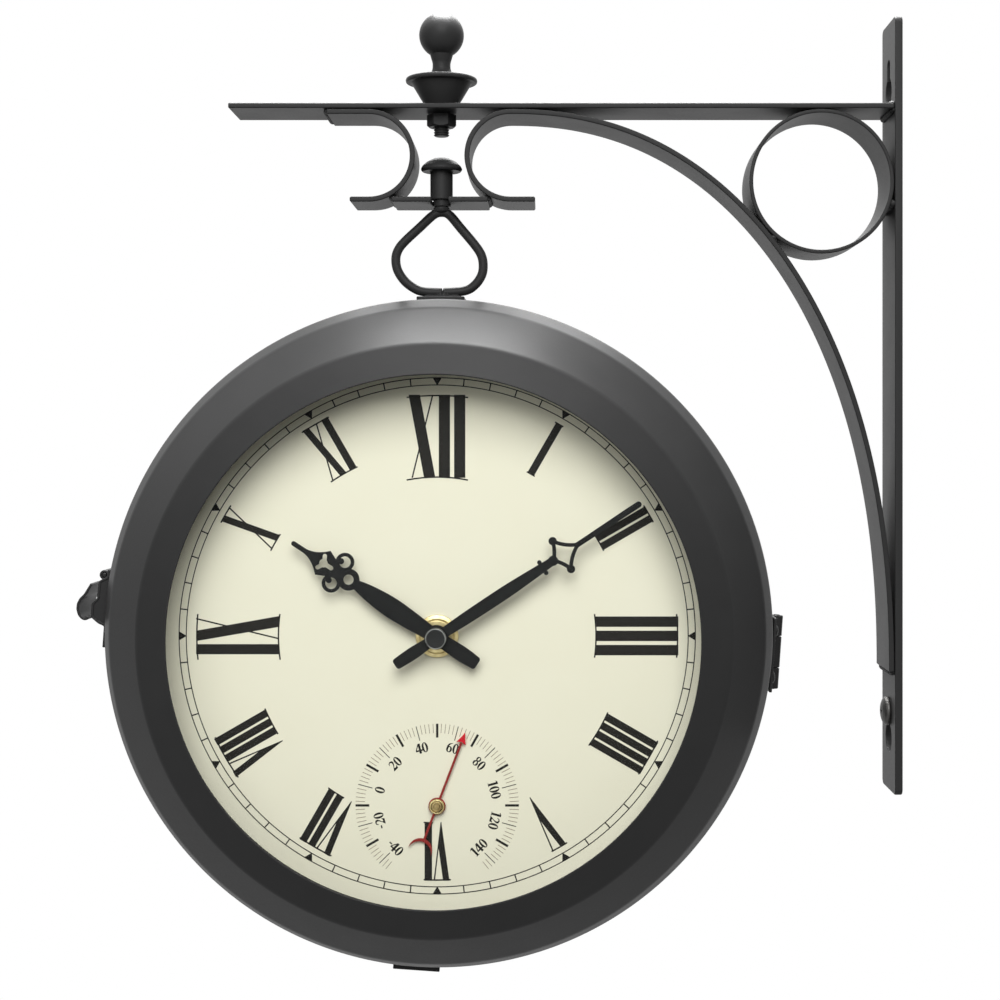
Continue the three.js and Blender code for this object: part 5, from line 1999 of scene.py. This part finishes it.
@dataclass
class Movement:
    """The quartz movement behind the dial with its cell and set knob."""

    half: CaseHalf
    size: float = 56.0
    back: float = 10.0
    front: float = 25.5
    cell_drop: float = 19.7
    cell_radius: float = 7.0
    cell_length: float = 49.0

    def build(self) -> None:
        """Makes movement, cell and knob."""
        prefix = self.half.side.prefix
        self.half.part("movement", self.case(), PLASTIC)
        half = self.cell_length / 2
        centre = Vector((0.65, -self.cell_drop, self.back + self.cell_radius + 0.3))
        at = self.half.at @ turned(Y_AXIS, Z_AXIS, X_AXIS, centre)
        radius = self.cell_radius
        cell = [
            (0, -half), (3, -half), (3.2, -half + 0.25), (radius, -half + 0.25), (radius, half),
            (2.7, half), (2.7, half + 1.3), (0, half + 1.3),
        ]
        form = round_bar(cell, [0, 0.1, 0, 0.8, 0.8, 0, 0.4, 0], 64)
        make(f"{prefix}.battery", form, WRAP, self.half.side.value, f"{prefix}_battery", at=at)
        knob = f"{prefix}_set_knob"
        make(f"{prefix}.set_knob", self.knob(), PLASTIC, knob, knob, at=self.half.at)
        make(f"{prefix}.contacts", self.contacts(), ZINC, self.half.side.value, at=self.half.at)

    def case(self) -> Form:
        """The box with its battery bay, seams, boss and bayonet sleeve.

        Returns:
            The form.
        """
        half = self.size / 2
        body = Form().slab([rounded(rectangle(-half, -half, half, half), 4)], self.back, self.front, 0.7)
        reach, room = self.cell_length / 2 + 1.8, self.cell_radius + 0.3
        bay = rounded(rectangle(-reach, -self.cell_drop - room, reach, -self.cell_drop + room), 0.6)
        body.combine(Form().slab([bay], self.back - 1, self.back + 2 * self.cell_radius + 0.6, 0.0), Join.CUT)
        outside, inside_line = half + 2, half - 0.5
        seam = merge(
            [rounded(rectangle(-outside, -outside, outside, outside), 4)],
            [rounded(rectangle(-inside_line, -inside_line, inside_line, inside_line), 3.5)],
        )
        body.combine(Form().slab(seam, 19.2, 19.7), Join.CUT)
        well = merge([disc(0, 0, 9.5)], [disc(0, 0, 6.6)])
        body.combine(Form().slab(well, self.back - 1, self.back + 0.7), Join.CUT)
        sleeve: Outline = [(0, self.front - 1), (3.8, self.front - 1)]
        z = self.front + 0.1
        while z < 30.0:
            sleeve += [(3.8, z), (3.8, z + 0.25), (3.45, z + 0.5)]
            z += 0.75
        sleeve += [(3.6, 30.5), (2.6, 30.5), (2.6, 33.2), (1.6, 33.2), (1.6, 35.6), (1.4, 35.8), (0, 35.8)]
        return body.combine(Form().lathe(sleeve, 48), Join.JOIN)

    def contacts(self) -> Form:
        """The two spring strips at the ends of the battery bay.

        Returns:
            The form.
        """
        form = Form()
        for side in (-1, 1):
            x = side * (self.cell_length / 2 + 1.55)
            low, high = -self.cell_drop - 4.5, -self.cell_drop + 4.5
            form.slab([rectangle(x - 0.15, low, x + 0.15, high)], self.back + 1.0, self.back + 13.0)
        return form

    def knob(self) -> Form:
        """The fluted knob that sets the hands.

        Returns:
            The form.
        """
        points = []
        for k in range(144):
            turn = 2 * math.pi * k / 144
            radius = 4.86 - 0.14 * math.cos(24 * turn)
            points.append((radius * math.cos(turn), radius * math.sin(turn)))
        form = Form().slab([points], self.back - 4.3, self.back - 0.3, 0.35)
        low, high = self.back - 5, self.back - 3.8
        dimple = Form().lathe([(0, low), (3.2, low), (2.9, high), (0, high)], 48)
        return form.combine(dimple, Join.CUT)


@dataclass
class RimFitting:
    """What the fittings on the rim share: a frame with x out, y across and z along the rim."""

    angle: float
    rim: float = CASE_RADIUS

    @property
    def at(self) -> Matrix:
        """The fitting's frame at its angle round the case."""
        a = math.radians(self.angle)
        out, along = Vector((math.cos(a), 0, math.sin(a))), Vector((-math.sin(a), 0, math.cos(a)))
        return turned(out, Y_AXIS, along, Vector((CLOCK_X, 0, CLOCK_Z)))

    def rivet_at(self, name: str, node: str, body: str, seat: float, y: float, z: float) -> None:
        """Sets one rivet through the rim.

        Args:
            name: The piece's name.
            node: The frame's node that it stands for.
            body: The body that it moves with.
            seat: The radius that its head sits at.
            y: Its place across the rim.
            z: Its place along the rim.
        """
        grip = seat - self.rim + SHEET + round_off(abs(z) + RIVET_HEAD)
        at = self.at @ turned(Y_AXIS, Z_AXIS, X_AXIS, Vector((seat, y, z)))
        make(name, rivet(grip), PAINTED, body, node, at=at)

    def bent(
        self, pairs: Outline, low: float, high: float, thickness: float, bend: float, start: float
    ) -> Form:
        """A bent strip across a width.

        Args:
            pairs: Distance along it and height above the rim.
            low: One edge across the rim.
            high: The other edge.
            thickness: The sheet's thickness.
            bend: The radius of its bends.
            start: The place along the rim that counts as zero.

        Returns:
            The form.
        """
        path = rounded([(along + start, self.rim + height) for along, height in pairs], bend, closed=False)
        section = bar_section(thickness, low, high, thickness * 0.3)
        return Form().sweep([Vector((out, 0, along)) for along, out in path], section, Y_AXIS, thickness * 0.2)


@dataclass
class Hinge(RimFitting):
    """The butt hinge on the right of the rim."""

    angle: float = -4.0
    axis: float = 130.5
    knuckle: float = 2.5
    middle: float = 6.0
    outer: float = 8.0
    leaf_low: float = 127.8
    leaf_top: float = 128.8
    reach: float = 14.0

    def build(self) -> None:
        """Makes both leaves, the pin and the rivets."""
        near, far = self.middle + GAP, self.middle + GAP + self.outer
        front = self.leaf(-1, [(-self.middle, self.middle)])
        rear = self.leaf(1, [(-far, -near), (near, far)])
        make("hinge.front_leaf", front, COAT, "front_door", "front_hinge_leaf", at=self.at)
        make("hinge.rear_leaf", rear, COAT, "clock", "rear_hinge_leaf", at=self.at)
        corners = [(0, -far - GAP), (1.2, -far - GAP), (1.2, far + GAP), (0, far + GAP)]
        pin = round_bar(corners, [0, 0.3, 0.3, 0], 40)
        make("hinge.pin", pin, COAT, "clock", "hinge_pin", at=self.at @ spot(self.axis, 0, 0))
        for side, word, body in ((-1, "front", "front_door"), (1, "rear", "clock")):
            for number, z in enumerate((-9, 9), 1):
                node = f"{word}_hinge_rivet_{number}"
                seat = self.leaf_top + GAP
                self.rivet_at(f"hinge.{word}_rivet_{number}", node, body, seat, side * 9, z)

    def leaf(self, side: int, knuckles: list[Point]) -> Form:
        """One leaf with its rolled knuckles.

        Args:
            side: -1 for the front leaf, 1 for the rear one.
            knuckles: Where each of its knuckles starts and ends.

        Returns:
            The form.
        """
        far = self.middle + GAP + self.outer
        clear = self.knuckle + 0.6
        low, high = sorted((side * clear, side * self.reach))
        upright = turned(Y_AXIS, Z_AXIS, X_AXIS)
        outline = rounded(rectangle(low, -far, high, far), 0.6)
        holes = [disc(side * 9, z, 1.6, 24) for z in (-9, 9)]
        form = Form().slab(merge([outline], holes), self.leaf_low, self.leaf_top, 0.2).place(upright)
        for start, end in knuckles:
            low, high = sorted((0.0, side * (clear + 1)))
            tab = Form().slab([rectangle(low, start, high, end)], self.leaf_low, self.leaf_top, 0.12)
            form.combine(tab.place(upright), Join.JOIN)
            corners = [(0, start), (self.knuckle, start), (self.knuckle, end), (0, end)]
            roll = round_bar(corners, [0, 0.3, 0.3, 0], 48, 3)
            form.combine(roll.place(spot(self.axis, 0, 0)), Join.JOIN)
        bore = Form().lathe([(0, -20), (1.5, -20), (1.5, 20), (0, 20)], 32)
        return form.combine(bore.place(spot(self.axis, 0, 0)), Join.CUT)


@dataclass
class Latch(RimFitting):
    """The latch on the left of the rim: base with two ears, keeper, and flap with a curled lip."""

    angle: float = 176.0
    length: float = 30.0
    leaf: float = 1.0
    pivot_down: float = 3.5
    pivot_out: float = 6.0
    knuckle: float = 1.9
    reach: float = 13.0
    ear_width: float = 3.4

    def build(self) -> None:
        """Makes the latch's pieces."""
        foot = GAP + self.leaf / 2
        ears = ((1.3, 1.3 + self.ear_width), (self.reach - self.ear_width, self.reach))
        base = self.sheet_strip([(0, foot), (self.length, foot)], 1, self.reach)
        for low, high in ears:
            ear = [(self.pivot_down, foot), (self.pivot_down, self.pivot_out - 0.5)]
            base.combine(self.sheet_strip(ear, low, high), Join.JOIN)
            base.combine(self.knuckle_roll(low, high), Join.JOIN)
        hole = Form().lathe([(0, -4), (1.6, -4), (1.6, 4), (0, 4)], 24)
        base.combine(self.bore(), Join.CUT)
        base.combine(hole.place(turned(Y_AXIS, Z_AXIS, X_AXIS, Vector((self.rim, 9, 11.5)))), Join.CUT)
        make("latch.base", base, COAT, "clock", "latch_base", at=self.at)
        keeper = [
            (0, foot), (3, foot), (5, 4), (11.5, 4.2), (13.5, 6.1), (18.5, 6.1), (20.5, 3.4),
            (21.5, foot), (30, foot),
        ]
        hump = self.sheet_strip(keeper, -self.reach, -1)
        hump.combine(self.web(keeper[1:8]), Join.JOIN)
        make("latch.keeper", hump, COAT, "front_door", "latch_keeper", at=self.at)
        flap = self.flap(ears[0][1] + GAP, ears[1][0] - GAP)
        make("latch.flap", flap, COAT, "latch_flap", "latch_flap", at=self.at)
        near, far = 1.0, self.reach + GAP
        corners = [(0, near), (0.8, near), (0.8, far), (0, far)]
        pin = round_bar(corners, [0, 0.2, 0.2, 0], 32, 3)
        make("latch.pin", pin, PAINTED, "clock", "latch_pin", at=self.at @ self.pivot)
        self.rivet_at("latch.rivet", "latch_rivet", "clock", self.rim + 1.6, 9, 11.5)

    @property
    def pivot(self) -> Matrix:
        """The pivot's frame in the latch's own, its z axis across the rim."""
        centre = Vector((self.rim + self.pivot_out, 0, self.pivot_down - self.length / 2))
        return turned(Z_AXIS, X_AXIS, Y_AXIS, centre)

    def knuckle_roll(self, low: float, high: float) -> Form:
        """One knuckle about the pivot."""
        corners = [(0, low), (self.knuckle, low), (self.knuckle, high), (0, high)]
        return round_bar(corners, [0, 0.25, 0.25, 0], 40, 3).place(self.pivot)

    def bore(self) -> Form:
        """The hole for the pivot's pin."""
        return Form().lathe([(0, -20), (1.1, -20), (1.1, 20), (0, 20)], 28).place(self.pivot)

    def sheet_strip(self, pairs: Outline, low: float, high: float, bend: float = 1.2) -> Form:
        """A bent strip of the latch's sheet."""
        return self.bent(pairs, low, high, self.leaf, bend, -self.length / 2)

    def web(self, pairs: Outline) -> Form:
        """The drawn side under the keeper's hump, which closes it towards the viewer.

        Args:
            pairs: The hump's line: distance along the rim and height above it.

        Returns:
            The form.
        """
        start = -self.length / 2
        curve = [(along + start, self.rim + height) for along, height in pairs]
        inner, outer = -self.reach + 0.35, -self.reach + 1.25
        foot = [(curve[-1][0], self.rim + 0.35), (curve[0][0], self.rim + 0.35)]
        outline = [(out, along) for along, out in [*curve, *foot]]
        run = outline if area_of(outline) > 0 else list(reversed(outline))
        upright = turned(X_AXIS, Z_AXIS, -Y_AXIS)
        return Form().slab([run], -outer, -inner).place(upright)

    def flap(self, low: float, high: float) -> Form:
        """The flap, its tongue and its knuckle.

        Args:
            low: The tongue's edge by the near ear.
            high: The tongue's edge by the far ear.

        Returns:
            The form.
        """
        clear = self.pivot_down + self.knuckle + 0.6
        slope = (9.6 - self.pivot_out) / (10.4 - self.pivot_down)
        start = (clear, self.pivot_out + slope * (clear - self.pivot_down))
        curl = [
            (10.4, 9.6), (12.2, 11.2), (14, 12), (16, 12.1), (18.2, 11.4), (19.6, 10), (19.8, 8.6),
            (18.9, 7.7),
        ]
        form = self.sheet_strip([start, *curl], 1 - self.reach, self.reach, 3)
        tongue = [(self.pivot_down, self.pivot_out), (clear + 1, start[1] + slope)]
        form.combine(self.sheet_strip(tongue, low, high), Join.JOIN)
        form.combine(self.knuckle_roll(low, high), Join.JOIN)
        return form.combine(self.bore(), Join.CUT)


@dataclass
class Clip(RimFitting):
    """The clip below that keeps the two halves in line."""

    angle: float = 266.0
    width: float = 18.0
    leaf: float = 1.0
    back: float = 14.0
    front: float = 10.0
    lip: float = 3.6

    def build(self) -> None:
        """Makes the clip: a strip across the seam with its front end turned out."""
        height = self.rim + GAP + self.leaf / 2
        line = [(height, self.back), (height, -self.front), (self.rim + self.lip, -self.front)]
        path = rounded(line, 1.0, closed=False)
        section = bar_section(self.leaf, -self.width / 2, self.width / 2, 0.3)
        form = Form().sweep([Vector((out, y, 0)) for out, y in path], section, Z_AXIS, 0.2)
        make("clip.strip", form, COAT, "clock", "bottom_clip", at=self.at)


@dataclass
class Studio:
    """Camera, soft lamps, pale floor and the white surround."""

    focus: tuple[float, float, float] = (-0.165, 0.0, -0.05)
    ambient: float = 0.12
    floor_z: float = -3.0

    def build(self) -> None:
        """Sets the whole studio."""
        self.camera()
        self.surround()
        self.floor()
        self.lamp("key", (-0.1, -1.15, 0.72), 0.9, 19.0)
        self.lamp("fill", (-0.75, -1.15, 0.3), 0.8, 3.4)
        self.lamp("top", (-0.16, 0.14, 0.82), 0.5, 42.0)
        self.lamp("back", (-0.1, 0.85, 1.1), 1.0, 20.0)
        view = bpy.context.scene.view_settings
        view.view_transform = "Standard"

    def camera(self) -> None:
        """The camera at the photograph's angle: level, square to the dial."""
        lens = bpy.data.cameras.new("camera")
        lens.sensor_width, lens.lens = 36.0, 61.67
        lens.shift_x, lens.shift_y = -0.045, -0.054
        lens.clip_start, lens.clip_end = 0.01, 50.0
        camera = bpy.data.objects.new("camera", lens)
        camera.location = (-0.1375, -0.6707, -0.01555)
        camera.rotation_euler = (math.pi / 2, 0, 0)
        bpy.context.scene.collection.objects.link(camera)
        bpy.context.scene.camera = camera

    @staticmethod
    def seen(mixer: Mixer) -> Wire:
        """One for rays that show the surround directly, in gloss or through glass.

        Args:
            mixer: The material's nodes.

        Returns:
            The wire, one or zero.
        """
        paths = [
            mixer.node("ShaderNodeLightPath", output=name)
            for name in ("Is Camera Ray", "Is Glossy Ray", "Is Transmission Ray")
        ]
        return paths[0].or_larger(paths[1]).or_larger(paths[2])

    def surround(self) -> None:
        """White to the eye, a softer light on the object."""
        world = bpy.data.worlds.new("surround")
        world.use_nodes = True
        mixer = Mixer(world.node_tree)
        seen = self.seen(mixer)
        strength = seen + (1 - seen) * self.ambient
        mixer.output(
            mixer.node("ShaderNodeBackground", inputs={"Color": (1.0, 1.0, 1.0), "Strength": strength}),
            "ShaderNodeOutputWorld",
        )
        bpy.context.scene.world = world

    def floor(self) -> None:
        """The pale floor far below the hanging clock."""
        half = 8.0
        data = bpy.data.meshes.new("floor")
        corners = [(x, y, self.floor_z) for x, y in rectangle(-half, -half, half, half)]
        data.from_pydata(corners, [], [(0, 1, 2, 3)])
        material = bpy.data.materials.new("pale floor")
        material.use_nodes = True
        mixer = Mixer(material.node_tree)
        paint = mixer.surface(Base_Color=(0.86, 0.86, 0.86), Roughness=0.9)
        glow = mixer.node("ShaderNodeEmission", inputs={"Color": (1.0, 1.0, 1.0), "Strength": 1.05})
        mixer.output(mixer.node("ShaderNodeMixShader", inputs={0: 0.94 * self.seen(mixer), 1: paint, 2: glow}))
        data.materials.append(material)
        floor = bpy.data.objects.new("floor", data)
        bpy.context.scene.collection.objects.link(floor)

    def lamp(self, name: str, place: tuple[float, float, float], size: float, power: float) -> None:
        """A soft square lamp that looks at the clock.

        Args:
            name: Its name.
            place: Where it hangs, in metres.
            size: Its side in metres.
            power: Its power in watts.
        """
        light = bpy.data.lights.new(name, "AREA")
        light.shape, light.size, light.energy = "SQUARE", size, power
        lamp = bpy.data.objects.new(name, light)
        lamp.location = place
        aim = Vector(self.focus) - Vector(place)
        lamp.rotation_euler = aim.to_track_quat("-Z", "Y").to_euler()
        bpy.context.scene.collection.objects.link(lamp)


def main() -> None:
    """Builds the scene piece by piece."""
    logging.basicConfig(level=logging.INFO, format="%(name)s: %(message)s")
    Studio().build()
    WallBracket().build()
    Finial().build()
    Hanger().build()
    for side in Side:
        half = CaseHalf(side)
        half.build()
        DialPrint(half).build()
        Movement(half).build()
        Hands(half).build()
        Thermometer(half).build()
    Hinge().build()
    Latch().build()
    Clip().build()


if __name__ == "__main__":
    main()
